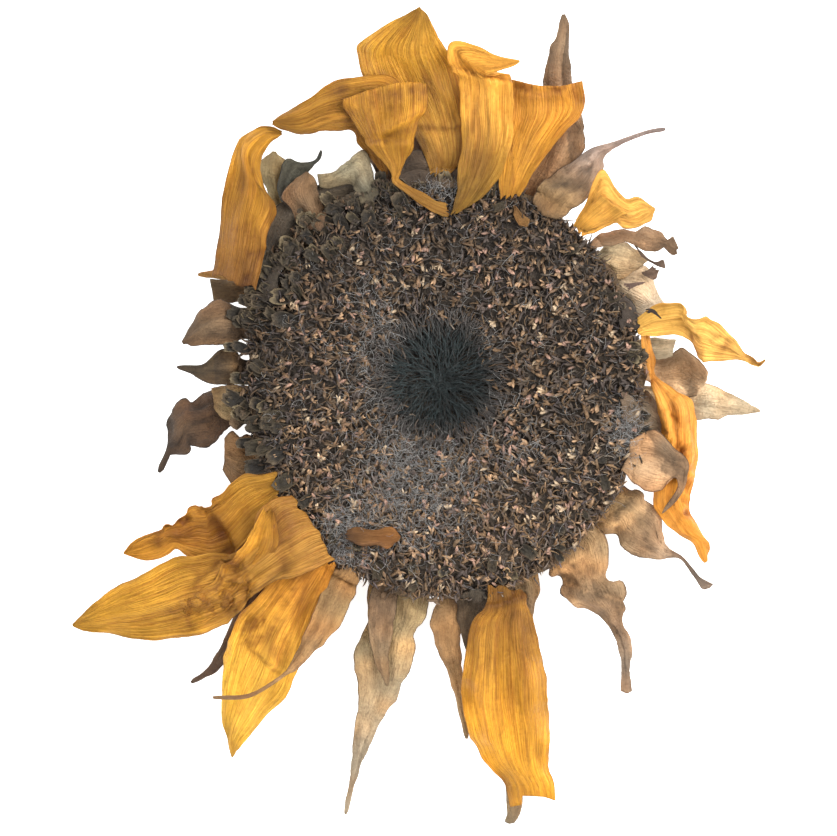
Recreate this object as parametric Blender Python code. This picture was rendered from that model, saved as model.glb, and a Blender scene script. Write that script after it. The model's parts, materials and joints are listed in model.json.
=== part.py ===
"""A dried sunflower seed head, lying on its back with the disc of dry florets facing up.

The receptacle is the thick dish that everything grows on. The floret disc covers its top, dry ray
petals rise from its rim, and the bracts, its dry green leaves, spread from its side under the petals.
"""
import math

import bmesh
import bpy
import numpy as np
from mathutils.geometry import delaunay_2d_cdt

MM = 0.001

# Driving dimensions, in millimetres. X points right, Y up the face of the head, Z out of the disc.
# A share is a distance from the middle of the head, where 1 is the receptacle's rim.
HEAD_WIDE = 100.0
HEAD_LONG = 106.0
RECEPTACLE_TOP = 17.0
FLAT_SPOT_SHARE = 0.36
FLORET_BED = 17.3
FLORET_BED_SHARE = 0.95
DISC_EDGE = 18.8
DISC_CROWN = 24.6
DISC_SHARE = 0.985
CENTRE_DIP = 2.4
CENTRE_SHARE = 0.24
BLADE_THICKNESS = 0.62
CLEARANCE = 0.34
BED_SLACK = 0.17

# The florets' relief in millimetres: over the open florets, and in the sunken middle of small buds
FLORET_RELIEF = 1.7
BUD_RELIEF = 1.1
BUD_SHARE = 0.12
OPEN_SHARE = 0.37
PEAK = 0.6
PIT = -0.4
LEAST_FLORET = 0.65
FLORET_SEED = 7
RIM_DROP = 0.4
RIM_SCALLOP = 0.35

# Radial wrinkles in the receptacle's side: how many round it, and how deep as a share of the radius
WIDE_WRINKLES = (11, 0.011)
FINE_WRINKLES = (24, 0.009)
WRINKLE_INSET = 0.01
WRINKLE_FADE = 0.3

# How finely the solids are cut
FLORETS = 640
LAST_FLORET = 0.968
RIM_SIDES = 72
GOLDEN_ANGLE = math.pi * (3 - math.sqrt(5))
BLADE_STEP = 5.0
PETAL_COLUMNS = 5
BRACT_COLUMNS = 4

# Where the blades pass the head: petals inside OVER_FLORETS lie on the florets, and a bract grows out
# of the receptacle's side just below its first edge points.
OVER_FLORETS = 1.03
BLADE_SHELF = RECEPTACLE_TOP - 1.0
HIGHEST_ROOT = RECEPTACLE_TOP - 3.0
ROOT_DROP = 1.2
ROOT_GAP = 0.022
MOST_REACH = 0.985

# The receptacle's outline: share of the rim's radius and height in millimetres, from the flat spot up
UNDERSIDE = [
    (FLAT_SPOT_SHARE, 0.0), (0.47, 0.9), (0.60, 2.7), (0.73, 5.2), (0.84, 8.2), (0.92, 11.3),
    (0.975, 14.0), (1.0, 15.8), (0.985, RECEPTACLE_TOP - 0.1), (0.93, RECEPTACLE_TOP),
]

# Each blade is a left and a right edge, as (x, y, z) in millimetres from its root to its tip. Left is
# the left hand of someone who looks down on the head and along the blade towards its tip.
PETALS = {
    "petal_left_hanging": (
        [(-45.5, 25.5, 16.4), (-47.75, 24.25, 16.6), (-53, 25, 16.5), (-58, 28, 17.5), (-57, 35, 19.5),
         (-56, 44, 21), (-54, 55, 21), (-51.5, 62, 20), (-46, 65, 19.5), (-41, 64, 20)],
        [(-44.25, 29.5, 16.4), (-44.75, 29.5, 16.8), (-45.5, 31, 17.4), (-45.75, 34, 18.3), (-44.5, 39.5, 20.3),
         (-42.25, 45.75, 22.5), (-46.5, 54.5, 22.5), (-44, 60.5, 21.5), (-42, 62, 20.6), (-40.5, 63, 20.4)]),
    "petal_top_short": (
        [(-1, 43.5, 24), (-6, 46, 23.4), (-12, 50.5, 22.8), (-16, 57, 23), (-21, 63, 23.8),
         (-24.5, 69, 25), (-25.5, 72.5, 26)],
        [(-1, 46, 24), (-4, 47, 23.4), (-9, 50.5, 22.8), (-10, 57.5, 23.4), (-7.5, 66, 24.6),
         (-5, 72, 25.8), (-5, 76, 26)]),
    "petal_top_left_long": (
        [(-16, 53, 19.5), (-19, 57.5, 20), (-22, 61.5, 20.6), (-23, 64, 21.5), (-26, 64, 22),
         (-31, 64, 22), (-36, 63, 22.2), (-43, 65.5, 22.6)],
        [(-11, 53.5, 19.5), (-9, 62, 20.2), (-10, 70.5, 21), (-13, 77.5, 22.2), (-22, 77.5, 22.8),
         (-29.5, 75, 22.8), (-36, 71, 22.6), (-43, 67, 22.8)]),
    "petal_top_tall": (
        [(-4, 52.5, 18.5), (-5, 57.5, 17.6), (-10, 66, 17.3), (-17, 74.5, 17.4), (-21, 80, 19),
         (-21.5, 85, 22.5), (-16, 90, 26), (-10, 92.5, 28.5), (-7, 94.5, 30)],
        [(1, 52.5, 18.5), (4.5, 57, 17.8), (5.5, 64.5, 17.4), (5.5, 72, 17.6), (4, 78, 19.4),
         (1, 84, 22.5), (-1.5, 87, 25), (-4, 91.5, 28), (-6, 94.5, 30)]),
    "petal_top_centre": (
        [(1, 43, 25), (2.5, 47.5, 24), (3.5, 56, 22.5), (4, 64.5, 22), (3.5, 73, 22.5), (3, 79, 24),
         (1, 83, 27), (1.75, 86, 29.5), (7.5, 85, 31), (13, 82.5, 31.5), (18.5, 81.5, 31.5)],
        [(2.5, 43, 25), (8, 46.5, 24), (13, 51.5, 22.5), (16.5, 59.5, 23), (17, 69, 23.6),
         (17, 76, 24.8), (14.5, 77, 26.2), (11, 77.5, 28.2), (11, 78, 29.5), (14, 79, 31),
         (18.5, 80.9, 31.5)]),
    "petal_top_right": (
        [(17, 48, 22), (14.5, 54, 21), (13.75, 61.5, 20.3), (13.75, 67.5, 20.3), (13.75, 73, 20.8),
         (14.25, 77.5, 22)],
        [(19, 49.5, 22), (23, 55, 21.5), (28, 61.5, 22), (34, 68, 23.5), (35, 72, 25.5),
         (34, 76.5, 28)]),
    "petal_right_upper": (
        [(32, 40.5, 20.5), (35, 46, 22), (37, 51.5, 24.5), (39, 54, 27), (42, 50, 26.5), (45, 47, 26),
         (48, 47.5, 26.5), (52, 45.5, 27)],
        [(34, 37.5, 20.5), (38, 39.5, 20.6), (42, 41, 21.2), (44, 40.5, 22), (46, 40, 23),
         (49, 40, 24.5), (51, 41.5, 25.5), (52.5, 43.5, 26.5)]),
    "petal_right_middle": (
        [(48, 18, 20.5), (53, 20, 22), (58, 21, 25), (61, 18, 25.5), (65, 17.5, 23.5), (69, 14, 21.5),
         (74, 10, 19), (80, 7.5, 16.5)],
        [(49, 13, 20.5), (54, 12.5, 21), (60, 13, 21.5), (62, 9, 21.8), (67, 6, 21.5), (73, 6, 20.5),
         (77, 5, 18.6), (80, 6.5, 16)]),
    "petal_right_lower": (
        [(51, 12, 18), (54, 4, 17.5), (59, -1.5, 17), (62, -6, 16.5), (63, -13, 16.2),
         (63, -20.5, 16.2), (61, -29, 16.5), (64.5, -36.5, 18.5), (66, -39.5, 19.8), (66.5, -42, 21)],
        [(49, 11.5, 18), (50, 4.5, 17.5), (53.5, -2.5, 17), (55, -7.5, 16.5), (56.5, -13, 16),
         (54.5, -22, 16), (53, -29.5, 16.2), (59.75, -36.75, 18), (63, -39.5, 19.4), (64.25, -44.25, 21)]),
    "petal_bottom": (
        [(21, -50.5, 20), (22, -57, 20.5), (24, -67, 18), (26, -78, 14.5), (27, -88, 11.5),
         (26.5, -97, 9.5), (27.75, -103.5, 8.5)],
        [(10, -51, 20), (7, -59, 20.5), (5, -68, 18), (5, -79, 14.5), (7.5, -89, 11.5), (12.25, -96.5, 9.5),
         (17, -104.5, 8.5)]),
    "petal_lower_left_upper": (
        [(-40, -27, 20.5), (-44, -30, 20), (-49, -36.5, 19.5), (-53, -41, 19), (-58, -41, 18.6),
         (-64.5, -41, 18.4), (-70, -41, 18.6), (-75, -43, 19.2), (-80, -42, 20.6)],
        [(-42, -21.5, 20.5), (-47, -22, 22), (-51, -24, 23.2), (-56, -26, 23.4), (-60, -29, 22.8),
         (-64.5, -31, 22), (-69, -33, 21.4), (-75, -37, 21), (-80.5, -40.5, 21)]),
    "petal_lower_left_long": (
        [(-26, -44.5, 22), (-31, -46.5, 23.5), (-39, -49, 24), (-47, -52, 22.5), (-52, -57, 20.5),
         (-60, -61, 19.5), (-69, -63, 19), (-79, -62.5, 19), (-93, -60, 21)],
        [(-38, -26.5, 22), (-44, -28.5, 24.5), (-48, -34.5, 25), (-52.5, -41, 23.5), (-60, -42, 22),
         (-68, -43, 21), (-74.5, -46, 20.5), (-84, -51, 20), (-93, -58.5, 21)]),
    "petal_lower_left_down": (
        [(-29, -45, 18.8), (-31, -50.5, 17.5), (-33, -57, 15), (-35.5, -65, 13.5), (-39, -75.5, 11.5),
         (-46, -84, 9.5), (-51, -89.5, 7.5), (-53, -93, 5.5)],
        [(-35.5, -42, 18.8), (-42, -48, 18), (-47.5, -52.5, 16.5), (-52, -58, 15), (-55, -65.5, 13.5),
         (-56, -75.5, 11.5), (-56, -84, 9), (-54, -92.5, 6)]),
}

BRACTS = {
    "bract_top_right": (
        [(21, 49.5, 14), (25, 56, 15), (27, 64.5, 16), (27, 72, 17.5), (24.5, 77.75, 20), (26.5, 85, 23),
         (28.5, 89.5, 25.5), (29, 93, 27.5)],
        [(26, 48.5, 14), (33, 58.5, 15), (35, 65, 16), (33, 72, 17.5), (32, 77, 20), (31, 83, 23),
         (31, 89, 25.5), (30, 93, 27.5)]),
    "bract_upper_right": (
        [(26, 45, 10.5), (29, 51, 11.5), (33, 55, 13), (37, 59, 15.5), (42.5, 61.5, 18.5), (50, 64, 22),
         (55, 65, 25)],
        [(32, 40.5, 10.5), (36, 48, 11.5), (38, 54.5, 13), (40, 59, 15.5), (44, 61, 18.5),
         (50, 63.25, 22), (55, 64, 25)]),
    "bract_right_dark": (
        [(38.5, 40, 17), (44, 39, 17.5), (50, 40.5, 18.5), (54, 39, 19.5), (58, 36, 21)],
        [(39, 37, 17), (45, 36, 17.5), (50, 34, 18.5), (54, 34.5, 19.5), (58, 33, 21)]),
    "bract_right_cream_upper": (
        [(39, 34.5, 12), (42, 37, 13), (46, 37, 13.5), (51, 32, 13)],
        [(39, 31.5, 12), (41, 29, 13), (43.5, 27.5, 13.5), (48, 30, 13)]),
    "bract_right_cream_lower": (
        [(44, 29, 10), (47, 29.5, 10.8), (51, 30, 11.2), (55, 22, 11.2)],
        [(44, 25.5, 10), (46, 24, 10.8), (48, 20.5, 11.2), (52, 20, 11.2)]),
    "bract_right_cream_small": (
        [(49, 12.5, 15), (54, 12.5, 15.5), (58, 12, 16)],
        [(49, 7.5, 15), (53, 7, 15.5), (57, 8, 16)]),
    "bract_right_curled": (
        [(49, 9, 12), (55, 7.5, 12.6), (59, 10.5, 14.5), (62, 8, 16), (66, 4, 17)],
        [(49, 4.5, 12), (54.5, 2.5, 12.4), (58, 0, 13), (60.5, -1.5, 13.8), (63, -2, 15)]),
    "bract_right_pale": (
        [(49, 0.5, 9), (57.5, 0, 9), (66, 1, 10), (73, -2, 11.5), (79, -5.5, 13.5)],
        [(49, -5, 9), (57, -7, 9), (64, -8, 10), (71, -7, 11.5), (79, -6, 13.5)]),
    "bract_right_small": (
        [(48, -4, 12.5), (50, -0.5, 13.5), (52, -3.5, 14.2), (55, -9.5, 14.5)],
        [(48, -9, 12.5), (50, -10, 13.2), (52.5, -11, 14), (55, -11.5, 14.5)]),
    "bract_right_hooked": (
        [(46, -16.5, 15), (49, -12, 18.5), (53, -11, 20.5), (57, -15, 21), (60.5, -18, 21),
         (60.5, -22, 20.8), (59, -26.5, 20), (54.5, -32, 19.5)],
        [(45, -21.5, 15), (48, -24.5, 18.5), (52, -26, 20), (55, -25, 20.8), (57.5, -22.5, 20.8),
         (58, -24.5, 20.5), (56.5, -27.5, 20), (54, -30.5, 19.5)]),
    "bract_lower_right_long": (
        [(40, -26.5, 11), (45, -25, 12.5), (49, -27, 14), (53.75, -33.5, 15), (55.75, -40, 15), (61.25, -43.25, 14),
         (64.5, -46, 12.5), (67, -49, 11)],
        [(37, -33, 11), (40, -36.5, 12.5), (45, -39, 14), (49, -42, 15), (54, -43, 15), (58, -43, 14),
         (62, -45.5, 12.5), (66, -50, 11)]),
    "bract_lower_right": (
        [(37, -37, 12), (40, -43, 12.5), (44, -49.5, 13), (45, -54.5, 12), (46, -61, 10.5),
         (47, -67.5, 8), (47, -76, 5)],
        [(26, -44.5, 12), (28.25, -48, 12.5), (29.75, -52.5, 13), (39, -57.5, 12.5), (42, -63, 11),
         (44, -70, 8), (44.5, -76.25, 5)]),
    "bract_bottom_shred": (
        [(24, -47.5, 12.5), (24, -52, 12.5), (22.5, -56, 12.5)],
        [(21, -48.5, 12.5), (21, -52, 12.5), (21, -56, 12.5)]),
    "bract_bottom_under_petal": (
        [(19, -52.5, 10), (21, -65.5, 7), (21.5, -78, 4.5), (21, -93, 3), (19, -105.5, 2.2),
         (18.75, -109.5, 1.6)],
        [(13, -53, 10), (11, -65.5, 7), (10, -78, 4.5), (12, -93, 3), (15, -104.5, 2.2),
         (15, -109.5, 1.6)]),
    "bract_bottom_dark": (
        [(10, -52, 14.5), (8, -58, 14), (6, -66, 13)],
        [(5, -53, 14.5), (4, -58, 14), (5, -65.5, 13)]),
    "bract_bottom_thin": (
        [(3, -53, 12.5), (4, -57.5, 12.2), (4, -64, 11.5), (4.5, -74, 10), (5.5, -83.5, 8),
         (6, -88, 7)],
        [(-2, -53, 12.5), (-3.5, -57, 12.2), (-2.5, -63.5, 11.5), (1, -72.5, 10), (3.5, -81, 8),
         (5, -88, 7)]),
    "bract_bottom_large": (
        [(-4, -52.5, 12), (-5.5, -57.5, 11.5), (-8, -62, 11), (-8, -67, 10.5), (-11, -75, 9.5),
         (-15, -81, 8), (-18.5, -88.5, 6), (-22, -97.5, 4), (-24.5, -107.5, 2)],
        [(-19.5, -51, 12), (-19, -57.5, 11.5), (-21, -62, 11), (-23, -67.5, 10.5), (-22, -74, 9.5),
         (-22, -81, 8), (-23, -89, 6), (-24, -98, 4), (-25.5, -107, 2)]),
    "bract_bottom_inner": (
        [(-12, -53.5, 15.6), (-13, -60, 15), (-14, -67, 14.2), (-14, -75, 13.5)],
        [(-19, -53, 15.6), (-19, -60.5, 15), (-18, -67, 14.2), (-15, -74, 13.5)]),
    "bract_over_petal": (
        [(-22, -50, 16), (-23, -53, 17), (-26, -58, 17.6), (-29, -64, 17.8), (-34, -70, 17.8),
         (-40, -74, 18), (-49, -77.5, 19), (-58, -78, 21)],
        [(-27, -49, 16), (-29.5, -53, 17), (-32.5, -58, 17.6), (-35.5, -63, 17.8), (-38.5, -69, 17.8),
         (-42, -73, 18), (-49, -76.5, 19), (-58, -77, 21)]),
    "bract_lower_left_dark": (
        [(-35, -43, 11), (-45, -54.5, 10), (-51, -62.5, 8), (-56, -70, 6), (-60.5, -73, 4),
         (-63.5, -74.5, 2.5)],
        [(-40, -39, 11), (-50, -51, 10), (-54, -60, 8), (-58, -68, 6), (-61, -71.5, 4),
         (-64, -73.5, 2.5)]),
    "bract_left_low": (
        [(-50, -19.5, 12), (-51, -21.5, 12.5), (-53, -22.5, 13), (-55.5, -20.5, 13.5)],
        [(-51, -12.5, 12), (-53, -11, 12.5), (-54, -11, 13), (-55.5, -12.5, 13.5)]),
    "bract_left_ragged": (
        [(-51, -9, 9), (-56, -11, 9.8), (-60, -14, 10.6), (-64.5, -15, 12), (-67, -17, 13),
         (-70, -19, 14.5), (-71, -21, 16)],
        [(-52, -2, 9), (-58, -2, 9.8), (-63, -3.5, 10.6), (-67, -4, 12), (-69.5, -8.5, 13),
         (-69.5, -13.5, 14.5), (-72, -20.5, 16)]),
    "bract_left_short": (
        [(-50, -5.5, 12.2), (-53, -8, 12.6), (-56, -7.5, 13.2), (-58, -5, 14)],
        [(-50, 0.5, 12.2), (-53, 1, 12.6), (-56, 1, 13.2), (-58.5, 0, 14)]),
    "bract_left_small": (
        [(-50, -9, 15.6), (-52, -10.5, 15.9), (-54, -9, 16.2)],
        [(-50, -4.5, 15.6), (-51.5, -3.5, 15.9), (-53, -4, 16.2)]),
    "bract_left_pointed": (
        [(-50.5, 2, 15), (-54, 1, 15.8), (-59, 1, 17), (-63, 3, 18.5), (-67, 5, 20)],
        [(-50.5, 7.5, 15), (-53, 9.5, 15.8), (-57, 9, 17), (-61, 6, 18.5), (-67, 5.5, 20)]),
    "bract_left_broad": (
        [(-51, 12, 14), (-54, 11, 15.5), (-58, 11, 17.5), (-61, 11, 19), (-65, 10.5, 20)],
        [(-50, 20.5, 14), (-54, 22, 15.5), (-58, 21.5, 17.5), (-62, 18, 19), (-66, 12, 20)]),
    "bract_left_upper_dark": (
        [(-50, 21.5, 11), (-54, 21.5, 11.5), (-58, 22, 12)],
        [(-49, 26, 11), (-54, 27, 11.5), (-59, 27, 12)]),
    "bract_left_tan_tip": (
        [(-46, 26, 9), (-52, 26.5, 9), (-58, 27.5, 9.5), (-62, 28, 10)],
        [(-45, 31, 9), (-52, 30.5, 9), (-58, 29.5, 9.5), (-62, 29, 10)]),
    "bract_upper_left_grey": (
        [(-39, 35.5, 10.2), (-43, 45.5, 11.6), (-46, 52.5, 13.2), (-46, 57, 14), (-44, 59.5, 14.5)],
        [(-35, 38.5, 10.2), (-38, 46.5, 11.6), (-40, 53, 13.2), (-40, 57, 14), (-41.5, 59, 14.5)]),
    "bract_upper_left_dark": (
        [(-36, 37, 12.6), (-41, 47, 14.2), (-41.5, 52.5, 16), (-39.5, 57.5, 17), (-36, 56.5, 17.5),
         (-32.5, 57, 19), (-31, 59.5, 21)],
        [(-33.5, 39, 12.6), (-37.5, 48, 14.2), (-37, 51, 15.4), (-35, 53, 16.4), (-34, 54.5, 17.2),
         (-31.5, 57, 19), (-30.5, 59, 21)]),
    "bract_upper_left_brown": (
        [(-36, 39.5, 16), (-39, 45.5, 17.5), (-41, 48, 18), (-38, 51.5, 18.5), (-35, 54, 19)],
        [(-30, 45, 16), (-31, 47, 17.5), (-32, 50.5, 18), (-33, 52.5, 18.5), (-34, 54, 19)]),
    "bract_upper_left_green": (
        [(-23, 48, 15.5), (-24, 50, 16), (-26, 51, 16.5), (-28, 52, 16.5), (-31, 50, 16.5)],
        [(-17, 51.5, 15.5), (-19, 56, 16), (-21, 57, 16.5), (-26, 54, 16.5), (-31, 53, 16.5)]),
    "bract_behind_top_left": (
        [(-16, 51, 13), (-19, 57, 14.5), (-21, 62.5, 16), (-21, 65, 17)],
        [(-11, 52.5, 13), (-13, 58, 14.5), (-17, 62.5, 16), (-20, 65, 17)]),
    "bract_behind_top": (
        [(-7, 52.5, 12.5), (-9, 62, 13.5), (-10, 69.5, 14.5), (-9, 73, 15)],
        [(0, 52.5, 12.5), (-1, 62, 13.5), (-5, 69.5, 14.5), (-8, 73.5, 15)]),
    "bract_behind_top_centre": (
        [(6, 52, 12.5), (5, 61, 13.5), (7, 68, 15), (9, 72.5, 16.5)],
        [(14, 51, 12.5), (14, 59.5, 13.5), (13, 67.5, 15), (10.5, 72, 16.5)]),
    "bract_behind_lower_left": (
        [(-41, -34, 13), (-48, -40, 13.5), (-55, -42.5, 14.5), (-60, -42, 15.5)],
        [(-45, -28.5, 13), (-51, -32.5, 13.5), (-56, -37, 14.5), (-60, -40.5, 15.5)]),
    "bract_behind_petal_down": (
        [(-28, -47.5, 12), (-32, -58, 11), (-38, -68, 10), (-42, -72, 9.5)],
        [(-34, -45.5, 12), (-40, -56, 11), (-43, -65.5, 10), (-43.5, -71, 9.5)]),
}

# Blades that are cupped or crumpled more than the rest: the arch as a share of half the width
CROWNS = {
    "bract_right_cream_upper": 0.45,
    "bract_right_cream_lower": 0.45,
    "bract_right_hooked": -0.2,
    "bract_bottom_large": 0.16,
    "bract_left_small": 0.1,
    "bract_right_curled": -0.45,
    "bract_left_broad": 0.5,
    "bract_left_ragged": 0.4,
    "petal_lower_left_upper": -0.3,
    "petal_right_middle": -0.3,
    "petal_right_lower": 0.45,
    "petal_top_short": 0.3,
    "petal_top_left_long": 0.14,
    "petal_top_tall": 0.08,
    "petal_left_hanging": 0.25,
}
PETAL_CROWN = 0.18
BRACT_CROWN = 0.28
PLEATS = 2.0
PLEAT_SHARE = 0.08
RUFFLE_SHARE = 0.16
RUFFLE_LENGTH = 14.0

# Colour, roughness
PETAL_FINISH = ((0.68, 0.27, 0.035), 0.62)
BRACT_FINISH = ((0.235, 0.135, 0.068), 0.8)
RECEPTACLE_FINISH = ((0.27, 0.18, 0.095), 0.85)
FLORET_FINISH = ((0.062, 0.042, 0.032), 0.9)
PALE_FINISH = ((0.66, 0.5, 0.3), 0.75)
PALE_BRACTS = (
    "bract_right_pale",
    "bract_right_cream_upper",
    "bract_right_cream_lower",
    "bract_right_cream_small",
)


def clear_scene():
    for obj in list(bpy.data.objects):
        bpy.data.objects.remove(obj, do_unlink=True)


def material(name, finish):
    made = bpy.data.materials.get(name)
    if made is None:
        made = bpy.data.materials.new(name)
        made.use_nodes = True
        shader = made.node_tree.nodes["Principled BSDF"]
        shader.inputs["Base Color"].default_value = (*finish[0], 1.0)
        shader.inputs["Roughness"].default_value = finish[1]
        shader.inputs["Metallic"].default_value = 0.0
    return made


def add_solid(name, points, faces, finish, sharp_degrees):
    """A named object of one closed mesh whose points are given in millimetres."""
    mesh = bpy.data.meshes.new(name)
    mesh.from_pydata((np.asarray(points) * MM).tolist(), [], faces)
    work = bmesh.new()
    work.from_mesh(mesh)
    bmesh.ops.recalc_face_normals(work, faces=work.faces)
    work.to_mesh(mesh)
    work.free()
    mesh.shade_smooth()
    mesh.set_sharp_from_angle(angle=math.radians(sharp_degrees))
    obj = bpy.data.objects.new(name, mesh)
    obj.data.materials.append(material(name, finish))
    bpy.context.scene.collection.objects.link(obj)
    return obj


def rim_share(x, y):
    """How far out a place is, as a share of the way from the middle to the head's rim."""
    return np.hypot(x / (HEAD_WIDE / 2), y / (HEAD_LONG / 2))


def disc_height(share):
    """Height of the floret disc without its relief: a flat dome with a sunken middle."""
    dome = DISC_EDGE + (DISC_CROWN - DISC_EDGE) * (1 - np.minimum(share, OVER_FLORETS) ** 4)
    return dome - CENTRE_DIP * np.exp(-((share / CENTRE_SHARE) ** 2))


def relief_height(share):
    """Height of one floret above the gaps round it, less in the sunken middle of small buds."""
    return np.interp(share, [BUD_SHARE, OPEN_SHARE], [BUD_RELIEF, FLORET_RELIEF])


def on_ellipse(share, angle):
    return share * HEAD_WIDE / 2 * np.cos(angle), share * HEAD_LONG / 2 * np.sin(angle)


def stack_rings(rings):
    """Quads between neighbouring rings of equal length, with one face closing each end."""
    sides = len(rings[0])
    points = np.vstack(rings)
    faces = [tuple(range(sides))[::-1]]
    for low in range(0, sides * (len(rings) - 1), sides):
        for side in range(sides):
            following = (side + 1) % sides
            faces.append((low + side, low + following, low + sides + following, low + sides + side))
    last = sides * (len(rings) - 1)
    faces.append(tuple(range(last, last + sides)))
    return points, faces


def make_receptacle():
    """The dish, turned from its outline and puckered by radial wrinkles that fade at the flat spot."""
    angle = np.arange(RIM_SIDES) * 2 * math.pi / RIM_SIDES
    rings = []
    for share, height in UNDERSIDE:
        below_lip = height < RECEPTACLE_TOP - 0.5
        fade = np.clip((share - FLAT_SPOT_SHARE) / WRINKLE_FADE, 0, 1) * below_lip
        wide = WIDE_WRINKLES[1] * np.cos(WIDE_WRINKLES[0] * angle)
        fine = FINE_WRINKLES[1] * np.cos(FINE_WRINKLES[0] * angle + 5 * share)
        x, y = on_ellipse(share * (1 + fade * (wide + fine - WRINKLE_INSET)), angle)
        rings.append(np.column_stack([x, y, np.full(RIM_SIDES, height)]))
    points, faces = stack_rings(rings)
    return add_solid("receptacle", points, faces, RECEPTACLE_FINISH, 50)


def floret_places():
    """Places of the florets: each turns by the golden angle, so they lie in crossing spirals."""
    number = np.arange(FLORETS)
    share = LAST_FLORET * np.sqrt((number + 0.5) / FLORETS)
    return np.column_stack(on_ellipse(share, number * GOLDEN_ANGLE))


def peaks_and_pits(flat, peaks):
    """Pits between every three neighbouring peaks, and the faces that ring each peak with its pits."""
    _, _, triples, _, _, _ = delaunay_2d_cdt(flat.tolist(), [], [], 0, 1e-6)
    inner = [triple for triple in triples if max(triple) < peaks]
    pits = flat[np.array(inner)].mean(axis=1)
    pit_of = {}
    for number, triple in enumerate(inner):
        for a, b in zip(triple, triple[1:] + triple[:1]):
            pit_of[a, b] = len(flat) + number
    faces = [tuple(triple) for triple in triples if max(triple) >= peaks]
    for (a, b), pit in pit_of.items():
        other = pit_of.get((b, a))
        if other is None:
            faces.append((a, b, pit))
        elif pit < other:
            faces += [(pit, a, other), (pit, other, b)]
    return pits, faces


def make_floret_disc():
    """The disc of dry florets: one peak for each floret, pits between them and a scalloped rim."""
    angle = np.arange(RIM_SIDES) * 2 * math.pi / RIM_SIDES
    tips = floret_places()
    flat = np.vstack([tips, np.column_stack(on_ellipse(DISC_SHARE, angle))])
    pits, faces = peaks_and_pits(flat, len(tips))
    flat = np.vstack([flat, pits])
    share = rim_share(flat[:, 0], flat[:, 1])
    size = np.repeat([PEAK, 0, PIT], [len(tips), RIM_SIDES, len(pits)])
    uneven = np.random.default_rng(FLORET_SEED).uniform(LEAST_FLORET, 1.0, len(flat))
    height = disc_height(share) + size * uneven * relief_height(share)
    rim, low = len(tips), len(flat)
    height[rim : rim + RIM_SIDES] = DISC_EDGE - RIM_DROP + RIM_SCALLOP * np.cos(angle * RIM_SIDES / 2)
    bed = np.column_stack([*on_ellipse(FLORET_BED_SHARE, angle), np.full(RIM_SIDES, FLORET_BED)])
    points = np.vstack([np.column_stack([flat, height]), bed])
    for side in range(RIM_SIDES):
        following = (side + 1) % RIM_SIDES
        faces.append((rim + side, low + side, low + following, rim + following))
    faces.append(tuple(range(low, low + RIM_SIDES))[::-1])
    return add_solid("floret_disc", points, faces, FLORET_FINISH, 60)


def smooth_edge(points, steps):
    """A Catmull-Rom curve through the points, with each span cut into its own number of steps."""
    given = np.array(points, float)
    given = np.vstack([2 * given[0] - given[1], given, 2 * given[-1] - given[-2]])
    spans = []
    for number, count in enumerate(steps):
        a, b, c, d = given[number : number + 4, None]
        t = np.arange(count)[:, None] / count
        spans.append(
            0.5 * (2 * b + (c - a) * t + (2 * a - 5 * b + 4 * c - d) * t**2 + (3 * (b - c) + d - a) * t**3)
        )
    return np.vstack(spans + [given[-2:-1]])


def steps_between(left, right):
    """How many steps each span between paired edge points is cut into, from its length."""
    middle = (np.array(left, float) + np.array(right, float)) / 2
    spans = np.linalg.norm(np.diff(middle, axis=0), axis=1)
    return np.maximum(1, np.round(spans / BLADE_STEP)).astype(int)


def underside_share(height):
    """How far out the receptacle's side reaches at a height, at the crest of a wrinkle."""
    shares, heights = np.array([place for place in UNDERSIDE if place[1] < BLADE_SHELF]).T
    crest = WIDE_WRINKLES[1] + FINE_WRINKLES[1] - WRINKLE_INSET
    return np.interp(height, heights, shares) * (1 + crest)


def clear_of_head(grid):
    """Lifts what would touch the florets above them, and moves what would touch the side outwards."""
    gap = CLEARANCE + BLADE_THICKNESS / 2
    share = rim_share(grid[..., 0], grid[..., 1])
    upper = grid[..., 2] > BLADE_SHELF
    floor = disc_height(share) + relief_height(share) * PEAK + gap + BED_SLACK
    lifted = np.where(upper & (share < OVER_FLORETS), np.maximum(grid[..., 2], floor), grid[..., 2])
    nearest = underside_share(grid[..., 2]) + (gap + BED_SLACK) / (HEAD_WIDE / 2)
    push = np.where(~upper & (share < nearest), nearest / np.maximum(share, 1e-6), 1.0)
    return np.stack([grid[..., 0] * push, grid[..., 1] * push, lifted], axis=-1)


def rooted(left, right):
    """Both edges with one point before them, where the blade grows from the receptacle's side."""
    added = []
    for x, y, z in (left[0], right[0]):
        height = min(z - ROOT_DROP, HIGHEST_ROOT)
        reach = min((underside_share(height) + ROOT_GAP) / rim_share(x, y), MOST_REACH)
        added.append((x * reach, y * reach, height))
    return [added[0]] + left, [added[1]] + right


def normals_of(grid):
    along = np.gradient(grid, axis=0)
    across = np.gradient(grid, axis=1)
    normal = np.cross(across, along)
    return normal / np.maximum(np.linalg.norm(normal, axis=2, keepdims=True), 1e-9)


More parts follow.
